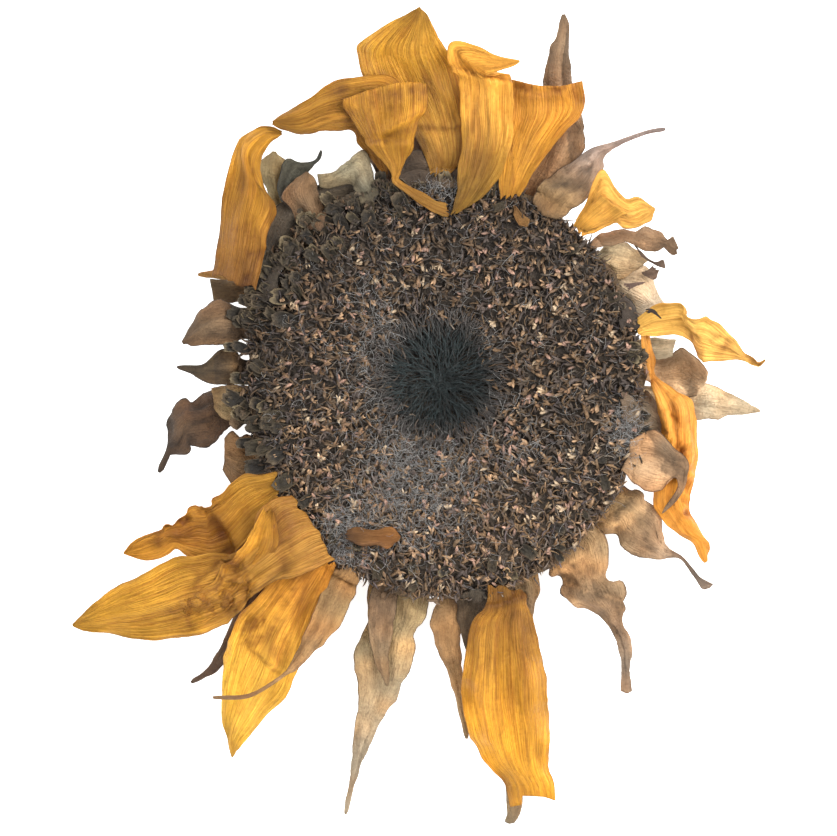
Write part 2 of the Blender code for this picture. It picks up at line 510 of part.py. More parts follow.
def blade_grid(left, right, columns, crown, phase):
    """The blade's middle surface: the space between its edges, arched across and lightly pleated."""
    steps = steps_between(left, right)
    left, right = smooth_edge(left, steps), smooth_edge(right, steps)
    v = np.linspace(-1, 1, columns + 1)[None, :, None]
    u = np.linspace(0, 1, len(left))[:, None, None]
    middle, half = (left + right)[:, None] / 2, (right - left)[:, None] / 2
    flat = middle + half * v
    wide = np.linalg.norm(half, axis=2, keepdims=True)
    gone = np.cumsum(np.linalg.norm(np.diff(middle[:, 0], axis=0, prepend=middle[:1, 0]), axis=1))
    turn = 2 * math.pi * gone[:, None, None] / RUFFLE_LENGTH
    pleat = PLEAT_SHARE * np.cos(PLEATS * math.pi * v + phase + 2 * u)
    ruffle = RUFFLE_SHARE * v**2 * np.sin(turn + phase + 1.3 * v)
    lift = crown * (1 - v**2) + (pleat + ruffle) * np.sin(math.pi * u)
    return clear_of_head(flat + normals_of(flat) * lift * wide)


def make_blade(name, left, right, columns, crown, finish, phase):
    grid = blade_grid(left, right, columns, crown, phase)
    offset = normals_of(grid) * BLADE_THICKNESS / 2
    rows, across = grid.shape[:2]
    upper = (grid + offset).reshape(-1, 3)
    lower = (grid - offset).reshape(-1, 3)
    count = rows * across
    cell = [row * across + column for row in range(rows - 1) for column in range(across - 1)]
    faces = []
    for a in cell:
        b, c, d = a + 1, a + across + 1, a + across
        faces += [(a, b, c), (a, c, d), (a + count, c + count, b + count), (a + count, d + count, c + count)]
    border = list(range(across)) + [row * across + across - 1 for row in range(1, rows)]
    border += [count - 1 - column for column in range(1, across)]
    border += [row * across for row in range(rows - 2, 0, -1)]
    for a, b in zip(border, border[1:] + border[:1]):
        faces += [(b, a, a + count), (b, a + count, b + count)]
    return add_solid(name, np.vstack([upper, lower]), faces, finish, 55)


def make_petals():
    for number, (name, (left, right)) in enumerate(PETALS.items()):
        crown = CROWNS.get(name, PETAL_CROWN)
        make_blade(name, left, right, PETAL_COLUMNS, crown, PETAL_FINISH, number)


def make_bracts():
    for number, (name, (left, right)) in enumerate(BRACTS.items()):
        crown = CROWNS.get(name, BRACT_CROWN)
        finish = PALE_FINISH if name in PALE_BRACTS else BRACT_FINISH
        make_blade(name, *rooted(left, right), BRACT_COLUMNS, crown, finish, number)


def main():
    clear_scene()
    make_receptacle()
    make_floret_disc()
    make_petals()
    make_bracts()


main()
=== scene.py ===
"""The looks of a dried sunflower head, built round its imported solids.

Every petal and bract solid is replaced by a thin wrinkled sheet of the same form, the floret disc by a
bed of single dry florets, and the receptacle by a wrinkled dish with its stem scar.
"""
import json
import math

import bpy
import numpy as np
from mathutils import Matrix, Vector

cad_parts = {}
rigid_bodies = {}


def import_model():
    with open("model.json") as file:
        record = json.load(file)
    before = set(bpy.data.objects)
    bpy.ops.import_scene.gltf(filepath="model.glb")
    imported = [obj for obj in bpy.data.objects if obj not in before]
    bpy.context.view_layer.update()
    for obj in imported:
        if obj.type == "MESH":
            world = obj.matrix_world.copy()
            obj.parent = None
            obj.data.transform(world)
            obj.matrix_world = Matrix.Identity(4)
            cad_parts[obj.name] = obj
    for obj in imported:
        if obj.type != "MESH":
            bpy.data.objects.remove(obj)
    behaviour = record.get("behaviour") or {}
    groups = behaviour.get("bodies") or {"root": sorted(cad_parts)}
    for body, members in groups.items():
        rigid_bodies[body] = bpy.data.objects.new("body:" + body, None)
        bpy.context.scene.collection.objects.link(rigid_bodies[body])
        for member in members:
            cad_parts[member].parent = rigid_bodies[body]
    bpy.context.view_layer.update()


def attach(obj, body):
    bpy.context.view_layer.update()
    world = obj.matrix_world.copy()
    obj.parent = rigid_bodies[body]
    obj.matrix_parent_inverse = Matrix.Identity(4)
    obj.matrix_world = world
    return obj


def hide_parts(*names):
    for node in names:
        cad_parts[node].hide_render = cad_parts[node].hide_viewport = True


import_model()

bl_info = {
    "name": "Dried Sunflower Head",
    "version": (1, 0, 0),
    "blender": (4, 5, 0),
    "location": "3D View > Sidebar > Sunflower",
    "description": "Dresses the sunflower head with papery petals, withered bracts and dry florets",
    "category": "Add Mesh",
}

MM = 0.001

# The head, in millimetres, as its solids have it. A share is a distance from the middle of the head,
# where 1 is the receptacle's rim.
HEAD_WIDE = 100.0
HEAD_LONG = 106.0
RECEPTACLE_TOP = 17.0
FLAT_SPOT_SHARE = 0.36
DISC_EDGE = 18.8
DISC_CROWN = 24.6
FLORET_BED = 17.3
FLORET_BED_SHARE = 0.93
BED_SHARE = 0.955
CENTRE_DIP = 2.4
CENTRE_SHARE = 0.24
FLORET_RELIEF = 1.7
BUD_RELIEF = 1.1
BUD_SHARE = 0.12
OPEN_SHARE = 0.37
PEAK = 0.6
BED_DEPTH = 0.9
OVER_FLORETS = 1.03
BLADE_SHELF = RECEPTACLE_TOP - 1.0
HIGHEST_ROOT = RECEPTACLE_TOP - 3.0
ROOT_DROP = 1.2
MOST_REACH = 0.985
PETAL_GAP = 0.6
SCRAP_GAP = 0.2
ROOT_SUNK = 0.03
GOLDEN_ANGLE = math.pi * (3 - math.sqrt(5))

# Profiles of the underside and of the stem scar in its middle, as (share, height)
UNDERSIDE = [
    (FLAT_SPOT_SHARE, 0.0), (0.47, 0.9), (0.60, 2.7), (0.73, 5.2), (0.84, 8.2), (0.92, 11.3),
    (0.975, 14.0), (1.0, 15.8), (0.985, RECEPTACLE_TOP - 0.1), (0.93, RECEPTACLE_TOP),
]
STEM_SCAR = [(0.004, 0.9), (0.10, 1.0), (0.19, 0.75), (0.215, 0.25), (0.23, 0.05), (0.30, 0.0)]
SCAR_SHARE = 0.2
SCAR_TONE = (196, 168, 128)

# Each blade is a left and a right edge, as (x, y, z) in millimetres from its root to its tip. Left is
# the left hand of someone who looks down on the head and along the blade towards its tip.
PETALS = {
    "petal_left_hanging": (
        [(-58.2, 27.4, 19.5), (-57.6, 31, 19.8), (-57, 35, 20.2), (-56, 44, 21), (-54, 55, 21),
         (-51.5, 62, 20), (-46, 65, 19.5), (-41, 64, 20)],
        [(-47.4, 24, 21.8), (-46.3, 28, 22), (-45, 34, 22.2), (-44, 39.5, 22.4), (-42.25, 45.75, 22.8),
         (-46.5, 54.5, 22.5), (-44, 60.5, 21.5), (-40.5, 63, 20.4)]),
    "petal_top_short": (
        [(1, 42.3, 24), (-3, 44.2, 23.6), (-7, 46.6, 23.2), (-10, 48.8, 22.9), (-13, 51.4, 22.8),
         (-13.3, 53, 22.8), (-15.2, 56, 22.9), (-17.5, 58.5, 23), (-21, 63, 23.8), (-24.5, 69, 25),
         (-25.5, 72.5, 26)],
        [(1.2, 45.8, 24), (-2, 46.6, 23.6), (-5.6, 48.2, 23.2), (-8.8, 50, 22.9), (-12, 52, 22.8),
         (-11.4, 53.5, 22.8), (-9.6, 56, 22.9), (-8.8, 58.5, 23), (-7.5, 66, 24.6), (-5, 72, 25.8),
         (-5, 76, 26)]),
    "petal_top_left_long": (
        [(-16, 53, 19.5), (-19, 57.5, 20), (-22, 61.5, 20.6), (-23, 64, 21.5), (-26, 64, 22),
         (-31, 64, 22), (-36, 63, 22.2), (-43, 65.5, 22.6)],
        [(-11, 53.5, 19.5), (-9, 62, 20.2), (-10, 70.5, 21), (-13, 77.5, 22.2), (-22, 77.5, 22.8),
         (-29.5, 75, 22.8), (-36, 71, 22.6), (-43, 67, 22.8)]),
    "petal_top_tall": (
        [(-4, 52.5, 18.5), (-5, 57.5, 17.6), (-10, 66, 17.3), (-17, 74.5, 17.4), (-21, 80, 19),
         (-21.5, 85, 22.5), (-16, 90, 26), (-10, 92.5, 28.5), (-7, 94.5, 30)],
        [(1, 52.5, 18.5), (4.5, 57, 17.8), (5.5, 64.5, 17.4), (5.5, 72, 17.6), (4, 78, 19.4),
         (1, 84, 22.5), (-1.5, 87, 25), (-4, 91.5, 28), (-6, 94.5, 30)]),
    "petal_top_centre": (
        [(1, 43, 25), (2.5, 47.5, 24), (3.5, 56, 22.5), (4, 64.5, 22), (3.5, 73, 22.5), (3, 79, 24),
         (1, 83, 27), (1.75, 86, 29.5), (7.5, 85, 31), (13, 82.5, 31.5), (18.5, 81.5, 31.5)],
        [(2.5, 43, 25), (8, 46.5, 24), (13, 51.5, 22.5), (16.5, 59.5, 23), (17, 69, 23.6),
         (17, 76, 24.8), (14.5, 77, 26.2), (11, 77.5, 28.2), (11, 78, 29.5), (14, 79, 31),
         (18.5, 80.9, 31.5)]),
    "petal_top_right": (
        [(13.8, 46.6, 22), (13.5, 54, 21), (13.75, 61.5, 20.3), (13.75, 67.5, 20.3), (13.75, 73, 20.8),
         (14.25, 77.5, 22)],
        [(18.4, 47.4, 22), (23, 55, 21.5), (28, 61.5, 22), (34, 68, 23.5), (35, 72, 25.5),
         (34, 76.5, 28)]),
    "petal_right_upper": (
        [(32, 40.5, 20.5), (35, 46, 22), (37, 51.5, 24.5), (39, 54, 27), (42, 50, 26.5), (45, 47, 26),
         (48, 47.5, 26.5), (52, 45.5, 27)],
        [(34, 37.5, 20.5), (38, 39.5, 20.6), (42, 41, 21.2), (44, 40.5, 22), (46, 40, 23),
         (49, 40, 24.5), (51, 41.5, 25.5), (52.5, 43.5, 26.5)]),
    "petal_right_middle": (
        [(47.8, 17.4, 20.5), (52.6, 20.8, 22), (55.4, 21.4, 23.5), (58.9, 21.3, 25), (59.8, 18.9, 25.4),
         (62.5, 17.7, 25.4), (64.7, 18.4, 25), (67.8, 15.9, 24), (71.4, 12.4, 22.4), (74.9, 8.8, 20.6),
         (77.1, 7.7, 19.2), (78.5, 6.6, 18.2), (80.2, 7.3, 18)],
        [(47.6, 12.4, 20.5), (51.5, 12.7, 20.8), (54.5, 13, 21), (58.5, 13.4, 21.4), (60.9, 12.2, 21.8),
         (62, 9.3, 22), (63.4, 6.9, 21.8), (66.9, 6.5, 21.5), (71, 7, 20.8), (74.3, 6.9, 20),
         (76.5, 5.6, 18.8), (78.4, 5.3, 17.6), (80.1, 6.7, 17.6)]),
    "petal_right_lower": (
        [(51.2, 15.5, 18.8), (51.4, 12, 18.4), (52.3, 7, 17.8), (52.9, 3, 17.4), (57.5, -0.3, 17),
         (62.4, -3.5, 16.5), (63, -11, 16.2), (63, -19, 16.2), (61, -28.5, 16.5), (64.5, -36.5, 18.5),
         (66, -39.5, 19.8), (66.5, -42.5, 21)],
        [(48.7, 15.5, 18.8), (49.2, 12, 18.4), (49.7, 8, 17.8), (50.8, 3.2, 17.4), (52, 0, 17),
         (53.2, -6, 16.5), (54, -13, 16), (52.5, -21.5, 16), (52.3, -29, 16.2), (57.5, -36.3, 18),
         (62, -38.8, 19.4), (64.1, -44.4, 21)]),
    "petal_bottom": (
        [(19.6, -49.8, 20), (21.1, -55.2, 20.5), (22.1, -58.5, 20.4), (23.3, -63.7, 19), (24.5, -68.5, 17.6),
         (25.6, -73.4, 16), (26.1, -79.4, 14.2), (26.8, -85.5, 12.3), (26.5, -89.1, 11.3),
         (26, -92.8, 10.5), (26.3, -96.4, 9.7), (27.2, -99.4, 9.1), (27.8, -103.6, 8.5)],
        [(10.6, -48.4, 20), (10.3, -55, 20.5), (7.6, -57.4, 20.4), (6, -60.3, 19.8), (5.1, -66.7, 18),
         (4.2, -72.2, 16.3), (4.1, -77.5, 14.8), (5.1, -83.1, 13), (6.9, -88.5, 11.4),
         (9.1, -92.8, 10.4), (11.8, -95.8, 9.7), (14.6, -99.1, 9.1), (16.2, -105.3, 8.5)]),
    "petal_lower_left_upper": (
        [(-40.8, -27.3, 22.8), (-44, -31, 22.2), (-47.5, -35, 21), (-52, -41, 19.6), (-55, -43.6, 18.6),
         (-58.5, -43.9, 18.4), (-61.6, -42.9, 18.2), (-64.6, -41.7, 18.2), (-67.4, -40.4, 18.4),
         (-69.7, -41.9, 18.6), (-73.5, -42.9, 19), (-80, -42.4, 20.6)],
        [(-41.8, -21, 23), (-46.5, -21.3, 23), (-51.2, -22.5, 23.2), (-55.9, -26, 23.4),
         (-59.2, -27.6, 23), (-60.2, -29.8, 22.6), (-64.2, -30.1, 22.2), (-66.4, -32.6, 21.9),
         (-70, -33.6, 21.5), (-73.2, -35.8, 21.2), (-77, -37.7, 21), (-80.4, -40.2, 21)]),
    "petal_lower_left_long": (
        [(-27.3, -42.8, 22), (-31, -44.2, 23.5), (-39.5, -47.6, 24), (-46.7, -51.3, 22.5), (-52, -57, 20.5),
         (-60, -61, 19.5), (-69, -63, 19), (-79, -62.5, 19), (-93, -60, 21)],
        [(-38, -26.5, 22), (-44, -28.5, 24.5), (-48, -34.5, 25), (-52.5, -40.6, 23.5), (-60, -41.2, 22),
         (-67.5, -42.2, 21), (-74.5, -46, 20.5), (-84, -51, 20), (-93, -58.5, 21)]),
    "petal_lower_left_down": (
        [(-26.8, -43.6, 18.8), (-29.8, -51, 17.5), (-32.2, -57, 15), (-35, -65, 13.5), (-39, -75.5, 11.5),
         (-46, -84, 9.5), (-51, -89.5, 7.5), (-53, -93, 5.5)],
        [(-34.5, -40, 18.8), (-41.6, -46.5, 18), (-47.5, -52.5, 16.5), (-52, -58, 15), (-55, -65.5, 13.5),
         (-56, -75.5, 11.5), (-56, -84, 9), (-54, -92.5, 6)]),
}

BRACTS = {
    "bract_top_right": (
        [(19, 50, 14), (21.5, 56, 15), (25.5, 64.5, 16), (25.5, 71, 17.5), (24.4, 75.9, 19.4),
         (25.2, 80.9, 21.4), (26.2, 85.2, 23.2), (27.6, 87.2, 24.2), (28.2, 89.8, 25.8), (28.4, 93, 27.5)],
        [(27, 48.5, 14), (33.5, 56.5, 15), (35.2, 62.9, 16), (34.1, 68.5, 17.5), (31.7, 75.9, 19.4),
         (31.3, 80, 21.4), (30.9, 83.5, 23.2), (30.8, 86.8, 24.2), (30.8, 89.5, 25.8), (30.5, 93, 27.5)]),
    "bract_upper_right": (
        [(23.6, 50.6, 19), (26.5, 53.4, 18.6), (31, 56, 18.2), (36, 59.5, 18.2), (42.5, 61.7, 19.6),
         (50, 64, 22), (55, 65, 25)],
        [(31.6, 45.4, 19), (35.4, 47.6, 18.6), (38.5, 53, 18.2), (40.5, 58.3, 18.2), (44, 60.9, 19.6),
         (50, 63.25, 22), (55, 64, 25)]),
    "bract_right_dark": (
        [(38.2, 38.5, 17), (40.2, 39, 17.2), (43.7, 39.7, 17.4), (47.7, 39.2, 17.6), (50, 40.5, 17.9),
         (51.7, 39.5, 18.2), (54.2, 38.7, 18.6), (55.7, 37, 19), (56.7, 38, 19.6), (57.5, 37, 20.2),
         (58.5, 34.7, 20.8)],
        [(39.2, 35.5, 17), (41.7, 35.7, 17.2), (45, 36.6, 17.4), (48, 35.6, 17.6), (50, 34.2, 17.9),
         (52, 34, 18.2), (53.7, 34.5, 18.6), (54.7, 35.2, 19), (55.7, 34.2, 19.6), (56.7, 33.2, 20.2),
         (58, 33.5, 20.8)]),
    "bract_right_cream_upper": (
        [(39, 34.5, 12), (42, 37, 13), (46, 37, 13.5), (51, 32, 13)],
        [(39, 31.5, 12), (41, 29, 13), (43.5, 27.5, 13.5), (48, 30, 13)]),
    "bract_right_cream_lower": (
        [(44, 29, 10), (47, 30, 10.8), (51, 29.6, 11.2), (55.2, 21, 11.2)],
        [(43, 24.8, 10), (44.2, 20.5, 10.8), (47.2, 17.6, 11.2), (52.2, 18, 11.2)]),
    "bract_right_cream_small": (
        [(50.5, 12.5, 12.6), (54, 12.5, 13.4), (58, 12, 14.5)],
        [(50.5, 7.5, 12.6), (53, 7, 13.4), (57, 8, 14.5)]),
    "bract_right_curled": (
        [(49, 9, 12), (55, 7.5, 12.6), (59, 10.5, 14.5), (62, 8, 16), (66, 4, 17)],
        [(48.5, 2, 12), (53.8, 0.3, 12.4), (57.5, -1.2, 13), (60.5, -2.2, 13.8), (63, -2, 15)]),
    "bract_right_pale": (
        [(49, 0.5, 9), (57.5, 0, 9), (66, 1, 10), (73, -2, 11.5), (79, -5.5, 13.5)],
        [(49, -5, 9), (57, -7, 9), (64, -8, 10), (71, -7, 11.5), (79, -6, 13.5)]),
    "bract_right_small": (
        [(48, -4, 12.5), (50, -0.5, 13.5), (52.4, -3.3, 14.2), (55.4, -9, 14.5)],
        [(46.5, -12, 12.5), (49.5, -12.6, 13.2), (52.6, -12.4, 14), (55.4, -11.8, 14.5)]),
    "bract_right_hooked": (
        [(46.5, -12.5, 18.4), (49.5, -10.6, 21.2), (53, -11, 21.2), (57, -15, 21), (60.5, -18, 21),
         (60.5, -22, 20.8), (59, -26.5, 20), (54.5, -32, 19.5)],
        [(45, -21.5, 18.4), (48, -24.5, 21.2), (52, -26, 20.8), (55, -25, 20.8), (57.5, -22.5, 20.8),
         (58, -24.5, 20.5), (56.5, -27.5, 20), (54, -30.5, 19.5)]),
    "bract_lower_right_long": (
        [(40, -26.5, 11), (44.2, -24.8, 12.2), (47, -26.2, 13.4), (48.6, -26.2, 14), (50, -28, 14.2),
         (52, -29.3, 14.6), (53.7, -31.8, 15), (53.7, -34.8, 15.2), (54.7, -38.8, 15), (56.3, -40.3, 14.8),
         (58.8, -41.8, 14.2), (61.3, -44.3, 13), (63.8, -47.2, 12), (65.5, -48.4, 11.4), (67.3, -49.2, 11)],
        [(37, -33, 11), (38, -36.2, 12), (39.8, -36.8, 12.8), (42.7, -36.5, 13.4), (44, -39.2, 14),
         (45.5, -40.8, 14.4), (48.8, -42.5, 14.8), (52.5, -43.2, 15), (54.5, -43.1, 14.8),
         (56.5, -42.6, 14.6), (59.2, -43, 14), (61, -45.3, 12.8), (63, -48, 11.8), (64.2, -49.8, 11.2),
         (65.3, -50.4, 11)]),
    "bract_lower_right": (
        [(39, -35.8, 12.2), (40.4, -39.4, 12.4), (40.8, -43.5, 12.6), (41, -47.3, 13), (44.2, -49, 13.4),
         (45.5, -52.3, 13), (45.2, -55, 12.4), (45, -59.3, 11.2), (46.5, -63, 10), (47, -66, 8.8),
         (46.7, -70, 7), (47.2, -75.6, 5), (47.3, -76.2, 4.8)],
        [(26, -44.5, 12), (26.4, -46.8, 12), (28.6, -47, 12.2), (29.2, -49, 12.6), (28.8, -51.4, 13),
         (31.5, -54, 13), (36.2, -56.3, 12.8), (39.5, -58, 12.2), (42.3, -62.3, 11), (43.3, -65.3, 9.6),
         (44.2, -70, 7.2), (44.5, -75.6, 5), (44.3, -76.3, 4.8)]),
    "bract_bottom_shred": (
        [(23, -46.5, 12.5), (23.9, -50.5, 12.5), (22.8, -54, 12.5), (22.2, -58, 12.5)],
        [(17, -48.5, 12.5), (18, -52, 12.5), (19.5, -55, 12.5), (21, -58, 12.5)]),
    "bract_bottom_under_petal": (
        [(19, -52.5, 10), (21, -65.5, 7), (21.5, -78, 4.5), (20.5, -93, 3), (19.4, -105.2, 2.2),
         (17.6, -109.5, 1.6)],
        [(13, -53, 10), (11, -65.5, 7), (10, -78, 4.5), (14, -93, 3), (15.9, -104.8, 2.2),
         (15.1, -109.3, 1.6)]),
    "bract_bottom_dark": (
        [(12, -51, 14.5), (10.5, -56, 14.2), (8, -61, 13.6), (6.4, -66.2, 13)],
        [(2.2, -51.5, 14.5), (2.8, -56, 14.2), (3.8, -61, 13.6), (5.2, -66, 13)]),
    "bract_bottom_thin": (
        [(3, -53, 12.5), (4, -57.5, 12.2), (4, -64, 11.5), (4.5, -74, 10), (5.5, -83.5, 8),
         (6, -88, 7)],
        [(-2, -53, 12.5), (-3.5, -57, 12.2), (-2.5, -63.5, 11.5), (1, -72.5, 10), (3.5, -81, 8),
         (5, -88, 7)]),
    "bract_bottom_large": (
        [(-4, -52.5, 12), (-5.5, -57.5, 11.5), (-8, -62, 11), (-8, -67, 10.5), (-11, -75, 9.5),
         (-15, -81, 8), (-18.5, -88.5, 6), (-22, -97.5, 4), (-24.5, -107.5, 2)],
        [(-19.5, -51, 12), (-19, -57.5, 11.5), (-21, -62, 11), (-23, -67.5, 10.5), (-22, -74, 9.5),
         (-22, -81, 8), (-23, -89, 6), (-24, -98, 4), (-25.5, -107, 2)]),
    "bract_bottom_inner": (
        [(-12, -53.5, 15.6), (-13, -60, 15), (-14, -67, 14.2), (-14, -75, 13.5)],
        [(-19, -53, 15.6), (-19, -60.5, 15), (-18, -67, 14.2), (-15, -74, 13.5)]),
    "bract_over_petal": (
        [(-22.3, -50.5, 17.2), (-23.5, -53.5, 18.2), (-26.2, -58.7, 18.6), (-29.3, -62.7, 18.6),
         (-34.3, -67.4, 18.4), (-40, -72, 18.4), (-49, -77.3, 19), (-58, -77.6, 21)],
        [(-29.5, -48.5, 17.2), (-31.5, -53, 18.2), (-33.5, -58, 18.6), (-36, -63.5, 18.6),
         (-38.7, -69, 18.4), (-42, -72.6, 18.4), (-49, -76.4, 19), (-58, -77, 21)]),
    "bract_lower_left_dark": (
        [(-35, -43, 11), (-45, -54.5, 10), (-51, -62.5, 8), (-56, -70, 6), (-60.5, -73, 4),
         (-63.5, -74.5, 2.5)],
        [(-40, -39, 11), (-50, -51, 10), (-54, -60, 8), (-58, -68, 6), (-61, -71.5, 4),
         (-64, -73.5, 2.5)]),
    "bract_left_low": (
        [(-45, -24, 12), (-48.5, -26, 12.5), (-52.2, -25, 13), (-55.6, -20.4, 13.5)],
        [(-51, -12.5, 12), (-53, -11, 12.5), (-54, -11, 13), (-55.3, -12.5, 13.5)]),
    "bract_left_ragged": (
        [(-51, -9, 9), (-53.5, -9.3, 9.4), (-55, -10.5, 9.8), (-57, -12.8, 10.2), (-59.5, -14, 10.8),
         (-62.5, -14.4, 11.4), (-64.6, -14.4, 12), (-65, -16.4, 12.6), (-66.6, -16.9, 13.2),
         (-68.6, -16.6, 13.8), (-69.4, -18, 14.6), (-70.4, -20.4, 15.6), (-71.2, -21.3, 16)],
        [(-52, -2, 9), (-56, -1, 9.6), (-60, -1, 10.2), (-63.3, -3.6, 10.8), (-65.2, -2.8, 11.3),
         (-67.4, -3.6, 12), (-68.2, -6, 12.6), (-69.8, -8, 13), (-69.2, -11, 13.6), (-69.5, -14, 14.2),
         (-70.3, -16.7, 14.8), (-71.6, -19.3, 15.6), (-72, -21, 16)]),
    "bract_left_short": (
        [(-50, -5.5, 12.2), (-53, -8, 12.6), (-56, -7.5, 13.2), (-58, -5, 14)],
        [(-50, 0.5, 12.2), (-53, 1, 12.6), (-56, 1, 13.2), (-58.5, 0, 14)]),
    "bract_left_small": (
        [(-50, -9, 15.6), (-52, -10.5, 15.9), (-54, -9, 16.2)],
        [(-50, -4.5, 15.6), (-51.5, -3.5, 15.9), (-53, -4, 16.2)]),
    "bract_left_pointed": (
        [(-50.5, 2, 15), (-54, 1, 15.8), (-59, 1, 17), (-63, 3, 18.5), (-67, 5, 20)],
        [(-50.5, 7.5, 15), (-53, 9.5, 15.8), (-57, 9, 17), (-61, 6, 18.5), (-67, 5.5, 20)]),
    "bract_left_broad": (
        [(-51, 12, 14), (-54, 11, 15.5), (-58, 11, 17.5), (-61, 11, 19), (-65, 10.5, 20)],
        [(-50, 20.5, 14), (-54, 22, 15.5), (-58, 21.5, 17.5), (-62, 18, 19), (-66, 12, 20)]),
    "bract_left_upper_dark": (
        [(-50, 21.5, 11), (-54, 21.5, 11.5), (-58, 22, 12)],
        [(-49, 26, 11), (-54, 27, 11.5), (-59, 27, 12)]),
    "bract_left_tan_tip": (
        [(-46, 26, 9), (-52, 26.5, 9), (-58, 27.5, 9.5), (-62, 28, 10)],
        [(-45, 31, 9), (-52, 30.5, 9), (-58, 29.5, 9.5), (-62, 29, 10)]),
    "bract_upper_left_grey": (
        [(-39, 35.5, 10.2), (-43, 45.5, 11.6), (-46, 52.5, 13.2), (-46, 57, 14), (-44, 59.5, 14.5)],
        [(-35, 38.5, 10.2), (-38, 46.5, 11.6), (-40, 53, 13.2), (-40, 57, 14), (-41.5, 59, 14.5)]),
    "bract_upper_left_dark": (
        [(-36, 37, 12.6), (-41, 47, 14.2), (-41.5, 52.5, 16), (-39.5, 57.5, 17), (-36, 56.5, 17.5),
         (-32.5, 57, 19), (-31, 59.5, 21)],
        [(-33.5, 39, 12.6), (-37.5, 48, 14.2), (-37, 51, 15.4), (-35, 53, 16.4), (-34, 54.5, 17.2),
         (-31.5, 57, 19), (-30.5, 59, 21)]),
    "bract_upper_left_brown": (
        [(-36, 39.5, 16), (-39, 45.5, 17.5), (-41, 48, 18), (-38, 51.5, 18.5), (-35, 54, 19)],
        [(-30, 45, 16), (-31, 47, 17.5), (-32, 50.5, 18), (-33, 52.5, 18.5), (-34, 54, 19)]),
    "bract_upper_left_green": (
        [(-22, 48.3, 19.6), (-22.8, 50.2, 19.5), (-24, 50.8, 19.3), (-26, 50.6, 19), (-28.7, 49.8, 18.8),
         (-31.3, 50.1, 18.4)],
        [(-17.5, 52, 19.6), (-18.8, 57, 19.5), (-20.7, 59.5, 19.3), (-24, 57, 19.2), (-27.5, 54.5, 18.8),
         (-32, 53.7, 18.4)]),
    "bract_behind_top_left": (
        [(-16, 51, 13), (-19, 57, 14.5), (-21, 62.5, 16), (-21, 65, 17)],
        [(-11, 52.5, 13), (-13, 58, 14.5), (-17, 62.5, 16), (-20, 65, 17)]),
    "bract_behind_top": (
        [(-7, 52.5, 12.5), (-9, 62, 13.5), (-10, 69.5, 14.5), (-9, 73, 15)],
        [(0, 52.5, 12.5), (-1, 62, 13.5), (-5, 69.5, 14.5), (-8, 73.5, 15)]),
    "bract_behind_top_centre": (
        [(6, 52, 12.5), (5, 61, 13.5), (7, 68, 15), (9, 72.5, 16.5)],
        [(14, 51, 12.5), (14, 59.5, 13.5), (13, 67.5, 15), (10.5, 72, 16.5)]),
    "bract_behind_lower_left": (
        [(-41, -34, 13), (-48, -40, 13.5), (-55, -42.5, 14.5), (-60, -42, 15.5)],
        [(-45, -28.5, 13), (-51, -32.5, 13.5), (-56, -37, 14.5), (-60, -40.5, 15.5)]),
    "bract_behind_petal_down": (
        [(-28, -47.5, 12), (-32, -58, 11), (-38, -68, 10), (-42, -72, 9.5)],
        [(-34, -45.5, 12), (-40, -56, 11), (-43, -65.5, 10), (-43.5, -71, 9.5)]),
}

# Blades that are cupped or crumpled more than the rest: the arch as a share of half the width
CROWNS = {
    "bract_right_cream_upper": 0.45,
    "bract_right_cream_lower": 0.45,
    "bract_right_hooked": -0.2,
    "bract_bottom_large": 0.16,
    "bract_left_small": 0.1,
    "bract_right_curled": -0.45,
    "bract_left_broad": 0.5,
    "bract_left_ragged": 0.4,
    "petal_lower_left_upper": -0.3,
    "petal_right_middle": -0.3,
    "petal_right_lower": 0.45,
    "petal_top_short": 0.3,
    "petal_top_left_long": 0.14,
    "petal_top_tall": 0.08,
    "petal_left_hanging": 0.25,
}
PETAL_CROWN = 0.18
BRACT_CROWN = 0.28
SCRAP_CROWN = 0.25

# Waves across and along the blades, as their solids have them
PLEATS = 2.0
PLEAT_SHARE = 0.08
RUFFLE_SHARE = 0.16
RUFFLE_LENGTH = 14.0

# What the solids lack: edges that waver by a share of their width, torn roots, narrow ends that come to
# a point, a bract's midrib, and how far a bract's red, green and blue go up and down
PETAL_WOBBLE = 0.14
BRACT_WOBBLE = 0.22
SCRAP_WOBBLE = 0.3
END_REACH = 6.0
RAGGED_ROOT = 1.6
NARROW_END = 3.2
TIP_LEFT = 0.12
STRAIGHT_END = ((0, 0),)
MIDRIB_HEIGHT = 0.25
MIDRIB_WIDTH = 0.5
HUE_CHANGE = (0.10, -0.02, -0.16)

# Where the noise of each kind of blade starts, so that no two blades are alike
PETAL_SEED = 100
BRACT_SEED = 300
SCRAP_SEED = 70

# Root and tip tone of each blade, from 0 to 255, or more for the brightest petals. Besides each blade's
# own colour the tones hold painted light: petals on the right are painted brighter, where the light
# falls, and those on the left darker. A bract that isn't listed is withered.
WITHERED = (125, 96, 71)
PETAL_TONES = {
    "petal_left_hanging": ((142, 94, 30), (200, 140, 34)),
    "petal_top_short": ((184, 134, 58), (188, 131, 34)),
    "petal_top_left_long": ((154, 102, 32), (178, 125, 37)),
    "petal_top_tall": ((189, 138, 56), (212, 153, 48)),
    "petal_top_centre": ((160, 122, 42), (248, 176, 66)),
    "petal_top_right": ((200, 140, 42), (206, 140, 44)),
    "petal_right_upper": ((274, 200, 86), (274, 206, 98)),
    "petal_right_middle": ((274, 212, 102), (274, 212, 106)),
    "petal_right_lower": ((272, 190, 84), (256, 170, 60)),
    "petal_bottom": ((158, 109, 35), (232, 162, 41)),
    "petal_lower_left_upper": ((183, 132, 42), (212, 147, 48)),
    "petal_lower_left_long": ((178, 126, 50), (206, 148, 41)),
    "petal_lower_left_down": ((222, 145, 44), (258, 196, 66)),
}
